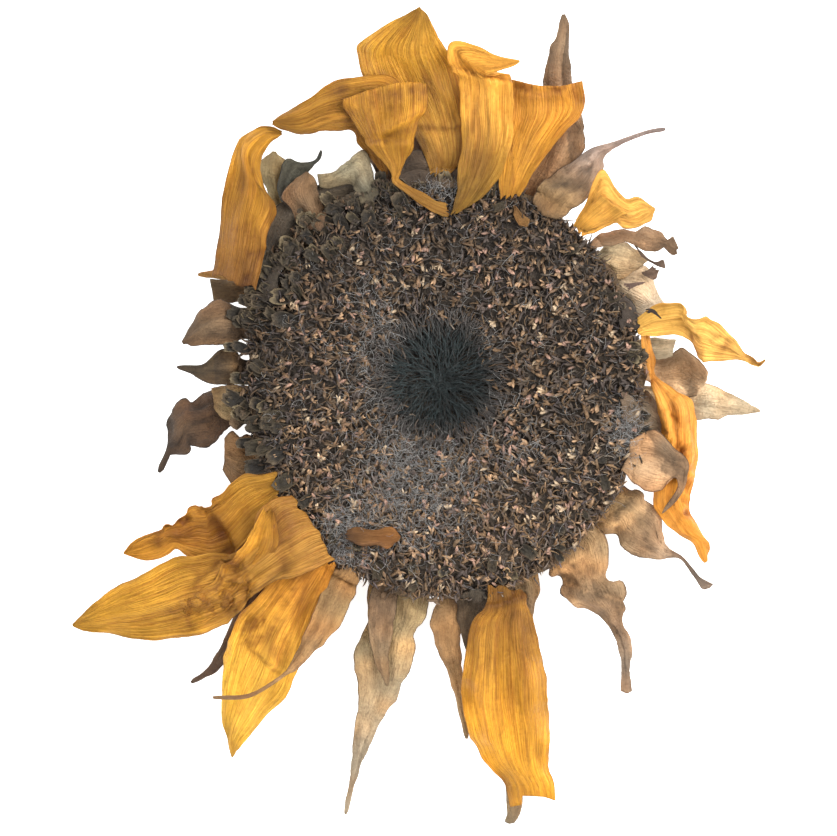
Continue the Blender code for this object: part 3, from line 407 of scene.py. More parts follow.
BRACT_TONES = {
    "bract_top_right": ((150, 108, 68), (146, 120, 92)),
    "bract_upper_right": ((150, 116, 74), (208, 182, 170)),
    "bract_right_dark": ((195, 151, 110), (166, 128, 91)),
    "bract_right_cream_upper": ((244, 224, 180), (216, 176, 126)),
    "bract_right_cream_lower": ((193, 173, 144), (207, 184, 154)),
    "bract_right_cream_small": ((226, 206, 168), (234, 214, 178)),
    "bract_right_curled": ((206, 168, 128), (220, 184, 142)),
    "bract_right_pale": ((221, 189, 145), (228, 198, 156)),
    "bract_right_small": ((166, 140, 112), (158, 130, 100)),
    "bract_right_hooked": ((208, 162, 116), (168, 134, 100)),
    "bract_lower_right_long": ((187, 145, 94), (175, 146, 121)),
    "bract_lower_right": ((180, 140, 94), (188, 154, 122)),
    "bract_bottom_shred": ((184, 146, 98), (168, 130, 88)),
    "bract_bottom_under_petal": ((166, 132, 90), (180, 148, 106)),
    "bract_bottom_dark": ((84, 68, 48), (104, 82, 56)),
    "bract_bottom_thin": ((176, 136, 90), (206, 160, 104)),
    "bract_bottom_large": ((183, 150, 101), (211, 183, 147)),
    "bract_bottom_inner": ((150, 118, 86), (176, 140, 98)),
    "bract_over_petal": ((191, 146, 90), (191, 142, 90)),
    "bract_lower_left_dark": ((99, 72, 46), (112, 84, 60)),
    "bract_left_low": ((162, 119, 77), (151, 112, 71)),
    "bract_left_ragged": ((105, 72, 42), (76, 53, 32)),
    "bract_left_short": ((206, 164, 107), (198, 158, 106)),
    "bract_left_small": ((120, 96, 72), (140, 113, 82)),
    "bract_left_pointed": ((96, 70, 40), (86, 66, 40)),
    "bract_left_broad": ((124, 94, 63), (113, 85, 56)),
    "bract_left_upper_dark": ((126, 94, 59), (112, 86, 53)),
    "bract_left_tan_tip": ((160, 112, 54), (208, 152, 80)),
    "bract_upper_left_grey": ((154, 133, 88), (176, 154, 108)),
    "bract_upper_left_dark": ((92, 88, 73), (86, 84, 70)),
    "bract_upper_left_brown": ((122, 90, 60), (133, 99, 64)),
    "bract_upper_left_green": ((144, 129, 100), (152, 137, 105)),
}

# Folds and marks that follow bent lines: kind, size, how far it reaches in millimetres, and the line. A
# ridge or step is as high as its size, a crumpled band as rough, and the others as strong. A stain and
# a light lie on both sides of their line, a shadow and a lip only on its left. A stain darkens the tint
# partly as the blade's own browning and partly as painted shade in hollows and under folds; a shadow is
# a painted shadow, and a light and a lip are painted highlights. The groove that darkens a fold is
# painted shade and narrower than it, by a share; a step's width and the size of crumples are in
# millimetres.
GROOVE_SHARE = 0.4
STEP_WIDTH = 0.7
CRUMPLE_SIZE = 3.6
PETAL_FOLDS = {
    "petal_left_hanging": [
        ("ridge", 0.7, 2.2, [(-47, 56.7), (-44, 46)]),
        ("stain_and_shade", 0.3, 3.0, [(-50, 30), (-52, 44), (-46, 60)]),
        ("stain_and_shade", 0.6, 1.6, [(-44, 35), (-43, 47), (-44, 58)]),
        ("light", 0.2, 2.4, [(-54, 54), (-50, 60), (-44, 63)]),
        ("crumple", 0.5, 3.0, [(-49, 26), (-47, 34)]),
    ],
    "petal_top_short": [
        ("step", 0.6, 1.8, [(-10.5, 61.2), (-14, 60.8), (-19, 61.6)]),
        ("ridge", 1.0, 1.3, [(-15, 64), (-10.7, 66.5), (-6.7, 69.5), (-5.2, 71.5)]),
        ("light", 0.35, 1.3, [(-14, 64.5), (-10.7, 66.8), (-6.7, 69.8)]),
        ("stain_and_shade", 0.6, 1.2, [(-13.7, 62.7), (-8.7, 64.6), (-6.2, 67)]),
        ("stain_and_shade", 0.4, 1.4, [(-12, 73.5), (-13, 69)]),
        ("stain_and_shade", 0.35, 1.2, [(-17.5, 67), (-18.5, 62)]),
        ("light", 0.25, 1.0, [(-24, 72), (-16, 76), (-7, 77)]),
        ("stain_and_shade", 0.35, 4.0, [(-11, 50), (-9, 48)]),
        ("crumple", 0.4, 3.0, [(-25, 70), (-6, 73)]),
    ],
    "petal_top_left_long": [
        ("stain_and_shade", 0.35, 2.0, [(-40, 66), (-24, 71)]),
        ("stain_and_shade", 0.6, 1.8, [(-26, 74), (-24.5, 69), (-22, 63)]),
        ("light", 0.25, 1.2, [(-23, 75.5), (-14, 77.5)]),
        ("step", 0.4, 1.6, [(-26, 71), (-20, 74), (-12, 75.5)]),
    ],
    "petal_top_tall": [
        ("step", 0.5, 1.8, [(-7.2, 65.3), (0, 64.9), (5, 66)]),
        ("stain_and_shade", 0.7, 0.9, [(-7.2, 65.2), (0, 64.9)]),
        ("stain_and_shade", 0.4, 3.0, [(-7, 62), (-3, 57)]),
        ("stain_and_shade", 0.4, 1.4, [(4, 78), (4.5, 66), (4, 58)]),
        ("crumple", 0.3, 3.0, [(-20, 76), (-4, 74)]),
    ],
    "petal_top_centre": [
        ("step", 0.8, 1.6, [(16.5, 76.4), (9, 77.6), (3.2, 79.4)]),
        ("light", 0.25, 1.2, [(3.5, 80.4), (9, 78.8), (16, 77.6)]),
        ("light", 0.5, 4.0, [(4, 84), (9, 82.5), (18, 81.5)]),
        ("ridge", 0.6, 1.3, [(4, 84.5), (4, 80.5)]),
        ("stain_and_shade", 0.45, 1.4, [(2.6, 84), (3, 80.5)]),
        ("light", 0.3, 1.1, [(3.8, 76), (4, 60), (3.4, 53)]),
        ("stain_and_shade", 0.65, 1.0, [(7.6, 70), (6.6, 64)]),
        ("stain_and_shade", 0.5, 5.0, [(7, 57), (5, 46)]),
        ("ridge", 0.4, 1.2, [(7, 50), (8.5, 62), (9, 72)]),
    ],
    "petal_top_right": [
        ("stain_and_shade", 0.35, 1.2, [(17, 73.4), (22, 72.4), (28, 73)]),
        ("step", 0.4, 1.4, [(28, 73.4), (22, 73), (17, 74)]),
        ("light", 0.2, 1.4, [(17.5, 51), (17, 62), (16.5, 72)]),
        ("ridge", 0.5, 1.2, [(17.5, 51), (17, 62), (16.5, 74)]),
        ("light", 0.2, 2.4, [(24, 63), (31, 72)]),
        ("crumple", 0.4, 2.5, [(15, 76), (33, 74)]),
    ],
    "petal_right_upper": [
        ("ridge", 0.9, 1.4, [(34, 39), (40, 43), (46, 43.5)]),
        ("ridge", 0.6, 1.0, [(38.5, 52), (38, 46)]),
        ("stain_and_shade", 0.4, 1.0, [(37, 46), (41, 45.5)]),
        ("light", 0.2, 2.0, [(36, 41), (41, 44), (48, 44)]),
    ],
    "petal_right_middle": [
        ("step", 0.9, 2.0, [(60.6, 16), (62.4, 13.5), (64.2, 8)]),
        ("stain_and_shade", 1.0, 1.5, [(61.8, 12.6), (63, 8.5)]),
        ("light", 0.35, 0.6, [(65.2, 13.2), (65.2, 8.6)]),
        ("crumple", 0.4, 2.5, [(68, 11), (78, 7)]),
    ],
    "petal_right_lower": [
        ("ridge", 1.2, 0.9, [(52.5, 1), (55.7, -8), (56.7, -13), (57.5, -20)]),
        ("stain_and_shade", 0.5, 0.9, [(56.6, -4), (58, -11), (58.8, -18)]),
        ("ridge", 1.0, 0.9, [(58, -3), (60.5, -12), (61, -24)]),
        ("stain_and_shade", 0.35, 0.8, [(61.2, -10), (62.3, -18)]),
        ("crumple", 1.1, 3.0, [(56, -4), (59, -20), (60, -32)]),
        ("stain_and_shade", 0.5, 1.0, [(51.5, 9), (53, 1)]),
    ],
    "petal_bottom": [
        ("ridge", 1.0, 1.0, [(7.2, -57.8), (10.5, -55.2), (16, -53.6), (20.5, -51.6)]),
        ("shadow", 0.7, 1.3, [(7, -57.6), (10.5, -55), (16, -53.4), (20.5, -51.4)]),
        ("stain_and_shade", 0.75, 1.1, [(8, -57), (10.8, -55.1), (16, -53.5), (20.5, -51.6)]),
        ("light", 0.35, 1.2, [(8, -59), (11, -57.3), (16, -55.8), (20.7, -54)]),
        ("stain_and_shade", 0.5, 2.6, [(17, -56), (20, -60), (21, -66)]),
        ("crumple", 0.5, 3.0, [(10, -54), (20, -52)]),
        ("ridge", 0.5, 1.3, [(13, -60), (12, -72), (14, -86)]),
        ("light", 0.2, 2.4, [(9, -62), (8, -72), (9, -84)]),
        ("ridge", 0.4, 1.3, [(19, -60), (20, -80), (21, -98)]),
        ("ridge", 0.5, 1.1, [(8.5, -62), (8, -74), (11, -88)]),
        ("stain_and_shade", 0.35, 1.2, [(14, -97), (17, -102)]),
    ],
    "petal_lower_left_upper": [
        ("step", 1.1, 2.2, [(-60.4, -29), (-58.2, -31.2), (-55.7, -34.2), (-53, -39.5)]),
        ("stain_and_shade", 1.0, 3.0, [(-58, -33.6), (-56, -36.5), (-54, -40)]),
        ("stain_and_shade", 0.7, 5.0, [(-66, -36), (-56, -38)]),
        ("ridge", -1.2, 3.0, [(-60, -36), (-55, -38)]),
        ("light", 0.3, 1.0, [(-59.5, -31.5), (-59, -34)]),
        ("crumple", 1.0, 3.4, [(-57, -28), (-64, -33), (-70, -36)]),
        ("stain_and_shade", 0.6, 1.6, [(-72, -35), (-71.5, -39)]),
        ("light", 0.2, 2.4, [(-52, -25), (-46, -27)]),
        ("light", 0.4, 2.4, [(-80, -41.4), (-75, -39.6)]),
        ("stain_and_shade", 0.4, 1.6, [(-49, -31), (-50, -35), (-50.5, -38)]),
    ],
    "petal_lower_left_long": [
        ("ridge", 2.2, 1.8, [(-45.2, -30.2), (-48, -35), (-49.7, -38.5), (-52.7, -42), (-60.2, -50.2),
                             (-63.7, -53.2)]),
        ("light", 0.7, 1.5, [(-45, -31.5), (-47.4, -36.5), (-49.6, -40.5)]),
        ("ridge", -1.2, 1.8, [(-43, -30), (-41.5, -36), (-40.5, -41), (-40.5, -46)]),
        ("stain_and_shade", 0.7, 1.6, [(-43, -31), (-41.5, -36), (-40.5, -41), (-40.3, -45)]),
        ("crumple", 1.9, 3.6, [(-52.2, -45), (-51.2, -50.5)]),
        ("stain_and_shade", 0.55, 3.2, [(-53, -45), (-52, -50.5)]),
        ("stain_and_shade", 0.8, 0.8, [(-56.5, -46.5), (-57, -50)]),
        ("stain_and_shade", 0.7, 0.8, [(-50.2, -44.2), (-49, -49)]),
        ("crumple", 1.5, 4.5, [(-61.2, -53), (-52.5, -54.2)]),
        ("stain_and_shade", 0.5, 3.6, [(-60, -54), (-53, -54.5)]),
        ("step", 0.6, 1.2, [(-64.3, -59.3), (-64.5, -53)]),
        ("stain_and_shade", 0.8, 0.8, [(-64.5, -53.5), (-64.1, -59.3)]),
        ("stain_and_shade", 0.5, 2.2, [(-54, -43.5), (-62, -45.5)]),
        ("stain_and_shade", 0.7, 2.4, [(-51, -35), (-54, -41), (-59, -46), (-62.5, -50), (-67, -55)]),
        ("stain_and_shade", 0.5, 1.6, [(-40, -31), (-38.5, -36), (-38.5, -40)]),
    ],
    "petal_fold_lower_left": [
        ("light", 0.5, 1.5, [(-45.6, -32), (-47.4, -36), (-49.6, -40), (-52, -42.5)]),
        ("stain_and_shade", 0.7, 1.4, [(-42.6, -31), (-42, -37), (-43, -42), (-46, -46)]),
        ("crumple", 1.2, 4.0, [(-52, -44), (-51.5, -50)]),
        ("crumple", 1.4, 4.5, [(-61, -53), (-52, -54)]),
        ("stain_and_shade", 0.6, 1.0, [(-54.5, -44.5), (-56.8, -50)]),
        ("stain_and_shade", 0.6, 0.9, [(-50.2, -44.2), (-49, -49)]),
        ("stain_and_shade", 0.5, 2.6, [(-61, -54), (-54, -53.5)]),
        ("stain_and_shade", 0.7, 0.9, [(-63.5, -53.5), (-64.1, -58.5)]),
    ],
    "petal_lower_left_down": [
        ("step", 0.8, 1.8, [(-49.5, -63), (-48.7, -65.2), (-45.5, -67.7), (-42.7, -70.5), (-40.5, -71.2)]),
        ("stain_and_shade", 0.35, 4.0, [(-46, -59), (-41.5, -66)]),
        ("stain_and_shade", 0.6, 1.3, [(-43.5, -64), (-41.7, -69)]),
        ("light", 0.2, 1.4, [(-39, -60), (-38, -67)]),
        ("ridge", 0.7, 1.3, [(-37, -48), (-39, -58), (-38.5, -66)]),
        ("stain_and_shade", 0.4, 1.4, [(-34, -45), (-36, -56), (-36.5, -62)]),
        ("ridge", 0.6, 1.3, [(-40, -46), (-46, -56), (-49, -62)]),
        ("crumple", 0.6, 5.0, [(-40, -50), (-47, -62)]),
    ],
}
BRACT_FOLDS = {
    "bract_upper_left_green": [
        ("light", 0.35, 1.3, [(-30, 52), (-25.5, 53), (-21.5, 56)]),
        ("stain_and_shade", 0.6, 1.2, [(-18, 54), (-19.5, 58.5)]),
        ("stain_and_shade", 1.0, 3.0, [(-24, 49), (-18, 49)]),
        ("stain_and_shade", 0.8, 3.0, [(-21, 49), (-18.5, 44)]),
    ],
    "bract_over_petal": [
        ("stain_and_shade", 0.45, 3.0, [(-25, -50), (-29, -54)]),
        ("ridge", 0.6, 1.4, [(-26.5, -51), (-31, -61), (-38, -70)]),
    ],
    "bract_upper_right": [
        ("ridge", 0.9, 1.2, [(23, 50.6), (26, 50), (30, 48), (34, 46)]),
        ("light", 0.3, 1.2, [(23, 50.6), (26, 50), (30, 48), (34, 46)]),
        ("stain_and_shade", 0.6, 1.6, [(25.5, 52), (30, 51), (36, 49.5)]),
        ("stain_and_shade", 0.5, 1.6, [(26, 55), (32, 57.5), (38, 60)]),
        ("crumple", 0.7, 3.0, [(28, 50), (36, 56)]),
        ("light", 0.25, 1.2, [(31, 52), (36, 57), (42, 61)]),
    ],
    "bract_right_curled": [
        ("stain_and_shade", 0.9, 1.5, [(60, 4), (61.8, 1), (61.5, -1.5)]),
        ("light", 0.8, 0.4, [(57.5, 0.7), (59.5, 0), (60.4, -1.5)]),
        ("stain_and_shade", 0.7, 2.0, [(55.5, 7), (59, 9)]),
    ],
    "bract_right_hooked": [
        ("stain_and_shade", 1.0, 2.4, [(54, -15), (57.5, -18.5), (59, -21)]),
        ("stain_and_shade", 0.5, 2.6, [(48.5, -10.5), (49, -15), (47.5, -18)]),
        ("light", 0.35, 3.2, [(50, -19), (53.5, -23)]),
        ("shadow", 0.7, 3.5, [(51, -12.5), (54.6, -17), (54, -21), (57, -22.5)]),
        ("lip", 0.25, 3.0, [(57, -22.5), (54, -21), (54.6, -17), (51, -12.5)]),
    ],
    "bract_left_broad": [("stain_and_shade", 0.5, 2.5, [(-52, 20), (-53, 12)])],
    "bract_left_pointed": [
        ("shadow", 0.6, 3.0, [(-58, 8.5), (-57.5, 2)]),
        ("light", 0.5, 1.2, [(-52.6, 8.5), (-52.8, 3)]),
    ],
    "bract_left_ragged": [
        ("light", 0.35, 2.0, [(-65, -5), (-66.5, -10)]),
        ("stain_and_shade", 0.5, 2.0, [(-58, -2), (-55, -8)]),
        ("ridge", 0.8, 1.5, [(-55, -5), (-63, -9), (-68, -14)]),
        ("crumple", 0.6, 4.0, [(-60, -6), (-67, -12)]),
    ],
    "bract_top_right": [
        ("light", 0.6, 0.4, [(26.2, 85.2), (27.6, 87.2), (28.3, 90)]),
        ("shadow", 0.6, 2.6, [(30, 88), (29, 78), (29.5, 70), (31, 58)]),
        ("lip", 0.3, 2.0, [(31, 58), (29.5, 70), (29, 78), (30, 88)]),
    ],
    "bract_right_cream_upper": [("stain_and_shade", 0.5, 1.6, [(42, 29.5), (46, 30), (50, 33)])],
    "bract_bottom_large": [("ridge", 0.8, 1.6, [(-10, -56), (-13, -66), (-13, -78)])],
    "bract_lower_right": [
        ("step", 1.2, 1.8, [(45, -54.2), (41, -53), (34, -50.8), (29, -49)]),
        ("shadow", 0.85, 1.6, [(45.4, -54.4), (41, -53), (34, -50.8), (29, -49)]),
        ("lip", 0.5, 1.8, [(29, -49), (34, -50.8), (41, -53), (45.4, -54.4)]),
        ("light", 0.5, 2.0, [(28, -45), (34, -44)]),
        ("stain_and_shade", 0.7, 3.6, [(39.5, -57.5), (42.5, -61.5)]),
        ("stain_and_shade", 0.6, 1.2, [(36, -45), (40, -47.5), (42, -50.5)]),
        ("light", 0.4, 1.4, [(32, -53), (38, -56)]),
        ("stain_and_shade", 0.5, 1.4, [(43.6, -56), (43.4, -61), (44.6, -64)]),
        ("stain_and_shade", 0.8, 2.0, [(28.8, -50), (31, -51)]),
        ("light", 0.45, 0.8, [(47, -66), (45.6, -60)]),
        ("crumple", 1.0, 4.0, [(30, -46), (40, -52)]),
        ("ridge", -0.8, 1.0, [(42.5, -60), (45, -66), (45.5, -72)]),
    ],
    "bract_lower_right_long": [
        ("ridge", 1.0, 1.4, [(41, -34), (46, -30), (48.8, -26.5)]),
        ("stain_and_shade", 0.6, 1.2, [(42, -30.5), (45.5, -29.5), (47.8, -26.8)]),
        ("light", 0.5, 1.8, [(41, -34), (46, -31.5), (50, -30)]),
        ("shadow", 0.45, 4.5, [(50.4, -29), (50.2, -32.7), (47, -34.1), (42.9, -36.4)]),
        ("lip", 0.3, 2.4, [(42.9, -36.4), (47, -34.1), (50.2, -32.7), (50.4, -29)]),
        ("light", 0.35, 1.2, [(52.8, -31), (53, -36), (54.5, -40.5)]),
        ("light", 0.3, 1.4, [(46, -40), (52, -42), (56, -41.5)]),
        ("stain_and_shade", 0.5, 0.8, [(57, -42), (61, -44.6), (65, -49)]),
        ("crumple", 0.7, 4.0, [(44, -32), (52, -38)]),
        ("stain_and_shade", 0.5, 3.0, [(38, -29), (38.5, -34)]),
    ],
}

# Where a blade's end isn't straight: how far back it is cut, in millimetres, at places across it
ENDS = {
    "petal_bottom": [(-1, 0), (-0.75, 0.9), (-0.5, 1.6), (0, 2.2), (0.38, 2.5), (0.46, 0.3), (1, 0)],
    "petal_top_right": [(-1, 0), (-0.2, 0.9), (0.5, 1.1), (1, 0)],
    "petal_top_short": [(-1, 0.6), (-0.4, -1.0), (0.3, -1.4), (0.8, -0.6), (1, 0.4)],
    "bract_lower_right": [(-1, 0.1), (0, -0.4), (1, 0.2)],
    "bract_lower_right_long": [(-1, 0), (0, -0.3), (1, 0)],
    "bract_right_dark": [(-1, 0.2), (0, 0.5), (1, 0)],
    "bract_bottom_under_petal": [(-1, 0), (0, -0.3), (1, 0)],
}

# Small dry pieces that the solids lack, with edges like a blade's: folds of a petal over itself, scraps
# of torn petal, and dark scales, thorns and a stalk with a lump at the rim. Three of the dark scales lie
# low in gaps at the rim and also stand in for the shadow there.
SCRAPS = {
    "petal_fold_lower_left": (
        [(-44.7, -29.5, 0.8), (-46.7, -32.7, 1.5), (-48.5, -36.2, 1.8), (-49.7, -38.7, 1.8),
         (-51.7, -41.2, 1.7), (-54, -42.7, 1.7), (-56, -45, 1.7), (-57.7, -48.2, 1.7), (-60.7, -50.2, 1.6),
         (-63.7, -53, 1.3), (-65.2, -56, 0.6)],
        [(-42.7, -30, 0.4), (-42, -33, 0.3), (-41.5, -36.5, 0.2), (-41.7, -39.5, 0.2),
         (-43.2, -42.5, 0.2), (-45.2, -45, 0.2), (-47.2, -48, 0.2), (-49.2, -51, 0.2), (-52.2, -54, 0.2),
         (-57.2, -57, 0.2), (-62.7, -59.5, 0.2)]),
    "petal_fold_right_upper": (
        [(32.2, 40.5, 0.5), (35.2, 44.2, 1.0), (38.7, 48, 1.8)],
        [(34.7, 38, 0.5), (39.5, 40.7, 0.8), (45, 43.5, 1.5)]),
    "petal_scrap_orange": (
        [(-25.5, -35.6, 24.5), (-22, -34.4, 24.8), (-18, -35.4, 25.2), (-14, -34.6, 25), (-11, -36.2, 25)],
        [(-25, -38.4, 24.5), (-21.5, -39.6, 25.2), (-17, -39, 25), (-14, -40, 25), (-11.2, -38, 24.8)]),
    "petal_scrap_tan": (
        [(16.7, 46, 21.5), (17, 43.5, 22.4), (18.5, 40.5, 23.2), (20, 40, 23.4)],
        [(17.2, 46, 21.5), (19.5, 43.5, 22.4), (21.2, 42, 22.8), (21, 40.5, 23.2)]),
    # A dark scale low at the rim that also stands in for the shadow in the gap there
    "rim_scale_and_shadow_right": (
        [(43, 24, 15.8), (46, 22.4, 15.8), (48.2, 19, 15.8), (49.2, 16, 15.8)],
        [(43, 14, 15.8), (45, 13.5, 15.8), (47, 13, 15.8), (49, 13.6, 15.8)]),
    "rim_scale_lower": (
        [(43.5, -1, 18.4), (46, -2, 18.8), (49, -5, 19)],
        [(43.5, -7, 18.4), (46, -8.5, 18.8), (48.6, -8.6, 19)]),
    # A dark scale low at the rim that also stands in for the shadow in the gap there
    "rim_scale_and_shadow_left": (
        [(-49.5, 22.5, 15.8), (-49, 29, 15.8), (-47, 35, 15.8), (-44.8, 40.5, 15.8), (-42.5, 45, 15.8),
         (-37.5, 48.4, 15.8), (-32, 50.8, 15.8), (-26, 52, 15.8), (-20, 52.8, 15.8)],
        [(-42, 20, 15.8), (-41, 27, 15.8), (-38.5, 33, 15.8), (-35, 38.5, 15.8), (-31, 42, 15.8),
         (-28, 44, 15.8), (-24.6, 45.4, 15.8), (-21, 46.6, 15.8), (-17, 47.8, 15.8)]),
    # A dark scale low at the rim that also stands in for the shadow in the gap there
    "rim_scale_and_shadow_top": (
        [(-13, 57.5, 15.8), (-8, 59.5, 15.8), (-2, 58.5, 15.8), (4, 57.5, 15.8)],
        [(-12, 48, 15.8), (-7, 49.5, 15.8), (-2, 50, 15.8), (4, 50, 15.8)]),
    "thorn_brown": (
        [(44.2, 26, 20.6), (47, 26.3, 20.9), (49.8, 26.5, 21.3)],
        [(44.8, 24.3, 20.6), (47.2, 25.4, 20.7), (49.7, 26.3, 21.2)]),
    "thorn_dark": (
        [(49.5, 19.4, 22.8), (51.8, 19.4, 23.4), (53.9, 17.6, 24)],
        [(49.5, 18.7, 22.8), (51.6, 18.9, 23.2), (53.7, 17.4, 23.8)]),
    "thin_stalk": (
        [(47.4, 36.4, 16), (49.9, 33.2, 16.4), (52.6, 31.6, 16.6), (54.6, 32, 16.6), (55.2, 30.6, 16.4)],
        [(47.1, 36, 16), (49.4, 32.8, 16.4), (52.4, 30.9, 16.4), (53.8, 30.2, 16.4), (54.8, 29.6, 16.4)]),
    "stalk_lump": (
        [(52.6, 31.2, 15.4), (50.6, 29.8, 15.6), (48.8, 29.8, 15.6)],
        [(54, 29.6, 15.4), (52.6, 27.2, 15.6), (50.4, 27.6, 15.6)]),
}
SCRAP_TONES = {
    "petal_fold_lower_left": ((214, 152, 48), (206, 144, 48)),
    "petal_fold_right_upper": ((258, 186, 74), (262, 194, 86)),
    "petal_scrap_orange": ((120, 84, 50), (176, 118, 58)),
    "petal_scrap_tan": ((140, 102, 60), (168, 124, 68)),
    "rim_scale_and_shadow_right": ((60, 48, 38), (66, 54, 42)),
    "rim_scale_lower": ((112, 92, 72), (120, 100, 78)),
    "rim_scale_and_shadow_left": ((70, 60, 48), (86, 72, 54)),
    "rim_scale_and_shadow_top": ((84, 68, 52), (92, 74, 56)),
    "thorn_brown": ((132, 104, 90), (172, 140, 124)),
    "thorn_dark": ((66, 50, 42), (58, 46, 42)),
    "thin_stalk": ((116, 92, 76), (128, 104, 86)),
    "stalk_lump": ((136, 108, 88), (128, 102, 84)),
}

# The petal that a fold lies on: the fold's heights are counted from that petal's surface
FOLDS_ON = {"petal_fold_lower_left": "ray_lower_left_long", "petal_fold_right_upper": "ray_right_upper"}

# The disc: the middle of its pattern, the heading at which withered florets hang out farthest over the
# rim, how much painted shade darkens it at the top and at the left, and how much painted light lightens
# the gaps in its lower half
CENTRE = (-1.5, 2.5)
CROWDED_RIM = math.radians(145)
TOP_PAINTED_SHADE = 0.3
LEFT_PAINTED_SHADE = 0.35
LOWER_GAP_LIGHT = 0.8

# Radii along a floret, along a lobe at its mouth and along a withered floret at the rim, as shares
FLORET_SHAPE = np.array([0.8, 0.9, 1.0, 0.85, 0.95, 0.8, 0.15])
LOBE_SHAPE = np.array([0.5, 0.85, 1, 0.75, 0.12])
FRINGE_SHAPE = np.array([0.8, 1.0, 0.9, 0.65, 0.2])

# The clots of fluff: place, reach and share of the fibres
FLUFF_CLOTS = [
    ((-7.5, -26.7), (7, 8), 4), ((-25, -36), (4, 6), 2.5), ((-1, -18), (9, 4), 1.2),
    ((-11, -13), (5, 8), 1.5), ((45.7, -11), (2.2, 4), 2), ((-1.2, 50), (6, 2), 1),
    ((-18.7, 12), (4, 9), 1.5), ((18, -13), (8, 7), 0.6), ((-2, 0), (26, 28), 6),
]

# Where husks lie round the rim: from and to which heading in degrees, how many as a share of the set
# number, their size, and how far out they lie at least and at most, as shares
HUSK_SPANS = [
    (100, 150, 0.16, 1.0, 0.85, 0.96), (150, 214, 0.18, 1.1, 0.84, 0.96),
    (130, 206, 0.26, 1.1, 0.98, 1.06), (134, 172, 0.18, 1.0, 1.0, 1.09),
    (98, 112, 0.08, 0.8, 0.93, 1.0), (108, 122, 0.12, 0.8, 0.95, 1.03),
    (120, 134, 0.08, 0.9, 0.97, 1.06), (74, 98, 0.08, 0.9, 0.93, 0.99),
    (214, 300, 0.14, 0.8, 0.85, 0.98), (300, 434, 0.12, 0.65, 0.85, 0.98),
    (366, 384, 0.06, 0.8, 0.94, 1.0), (338, 354, 0.06, 0.75, 0.97, 1.02),
]

# The photo's field of view at the head's height and the point that it looks straight down on
FIELD = 209.25
LOOKS_AT = (-6.625, -7.5, 18.0)
CAMERA_HEIGHT = 2000.0
SENSOR = 36.0

# The floor and the lights, in metres
FLOOR_REACH = 2.5
FLOOR_GAP = 0.0002
FLOOR_CORNERS = [(-1, -1), (1, -1), (1, 1), (-1, 1)]
LIGHTS_AIM = (0, 0, 0.01)

# All tints are darkened by this and the lights are that much brighter, so that bright petals have room
TINT_ROOM = 0.85

# How finely the dressed pieces are cut, in millimetres or counts
DISH_STEP = 1.3
DISH_SIDES = 144
BED_SIDES = 150
BED_RINGS = 76
PETAL_STEP = 0.7
PETAL_COLUMNS = 40
BRACT_STEP = 0.8
BRACT_COLUMNS = 20
FOLDED_FINER = 1.3
SCRAP_STEP = 0.5
SCRAP_COLUMNS = 18
STRAND_RINGS = 5
NEEDLE_RINGS = 6
FIBRE_RINGS = 5
HUSK_POINTS = 9
NEAR_POINTS = 6
NOISE_TABLE = 64


def tone(red, green, blue):
    """Linear colour of a tone that is given as three numbers from 0 to 255."""
    shade = np.array([red, green, blue]) / 255
    return tuple(np.where(shade <= 0.04045, shade / 12.92, ((shade + 0.055) / 1.055) ** 2.4))


def blend(first, second, share):
    """What lies a share of the way from the first to the second."""
    return first + (second - first) * share


def smooth_step(value, low, high):
    """A share that rises smoothly from 0 at the low value to 1 at the high one."""
    part = np.clip((value - low) / (high - low), 0, 1)
    return part * part * (3 - 2 * part)


def unit(vectors):
    """The vectors' directions, each of length 1."""
    return vectors / np.maximum(np.linalg.norm(vectors, axis=-1, keepdims=True), 1e-9)


def noise(x, y, seed):
    """Smooth noise from -1 to 1 over a plane: random heights on unit squares, blended between corners."""
    table = np.random.default_rng(seed).uniform(-1, 1, (NOISE_TABLE, NOISE_TABLE))
    left, low = np.floor(x).astype(int), np.floor(y).astype(int)
    s, t = smooth_step(x - left, 0, 1), smooth_step(y - low, 0, 1)
    west, east = left % NOISE_TABLE, (left + 1) % NOISE_TABLE
    south, north = low % NOISE_TABLE, (low + 1) % NOISE_TABLE
    lower = blend(table[west, south], table[east, south], s)
    upper = blend(table[west, north], table[east, north], s)
    return blend(lower, upper, t)


def crumple(x, y, seed, layers=3, finer=1.9, twist=1.9, creased=2.6):
    """Heights from -1 to 1 like crumpled paper: noise folded where it crosses zero, in three layers.

    Each layer is finer than the one before, as much lower, and turned against it.
    """
    total = 0
    for layer in range(layers):
        turn = 0.7 + twist * layer + seed
        grow = finer**layer
        along = (x * math.cos(turn) - y * math.sin(turn)) * grow
        across = (x * math.sin(turn) + y * math.cos(turn)) * grow
        total = total + (1 - creased * np.abs(noise(along, across, 31 * seed + layer))) / grow
    return total / 1.8


def two_crumples(x, y, coarse, fine, seed):
    """Crumples of two sizes in millimetres, the finer ones about a third as high."""
    return crumple(x / coarse, y / coarse, seed) + 0.35 * crumple(x / fine, y / fine, seed + 1)


def grooves(across, gone, wide, long, seed, sway=0.0):
    """Noise drawn out along a blade, in waves of the given width and length in millimetres."""
    return noise(across / wide + sway, gone / long, seed)


def edge_curl(gone, v, height, length, seed):
    """Short waves along a blade's two edges, their height and length in millimetres."""
    other_edge = 20 * (v > 0)
    return height * v**4 * noise(gone / length + other_edge, 0, seed)


def rim_share(x, y):
    """How far out a place is, as a share of the way from the middle to the head's rim."""
    return np.hypot(x / (HEAD_WIDE / 2), y / (HEAD_LONG / 2))


def on_ellipse(share, angle):
    """The place at a share of the way to the head's rim, at an angle."""
    return share * HEAD_WIDE / 2 * np.cos(angle), share * HEAD_LONG / 2 * np.sin(angle)


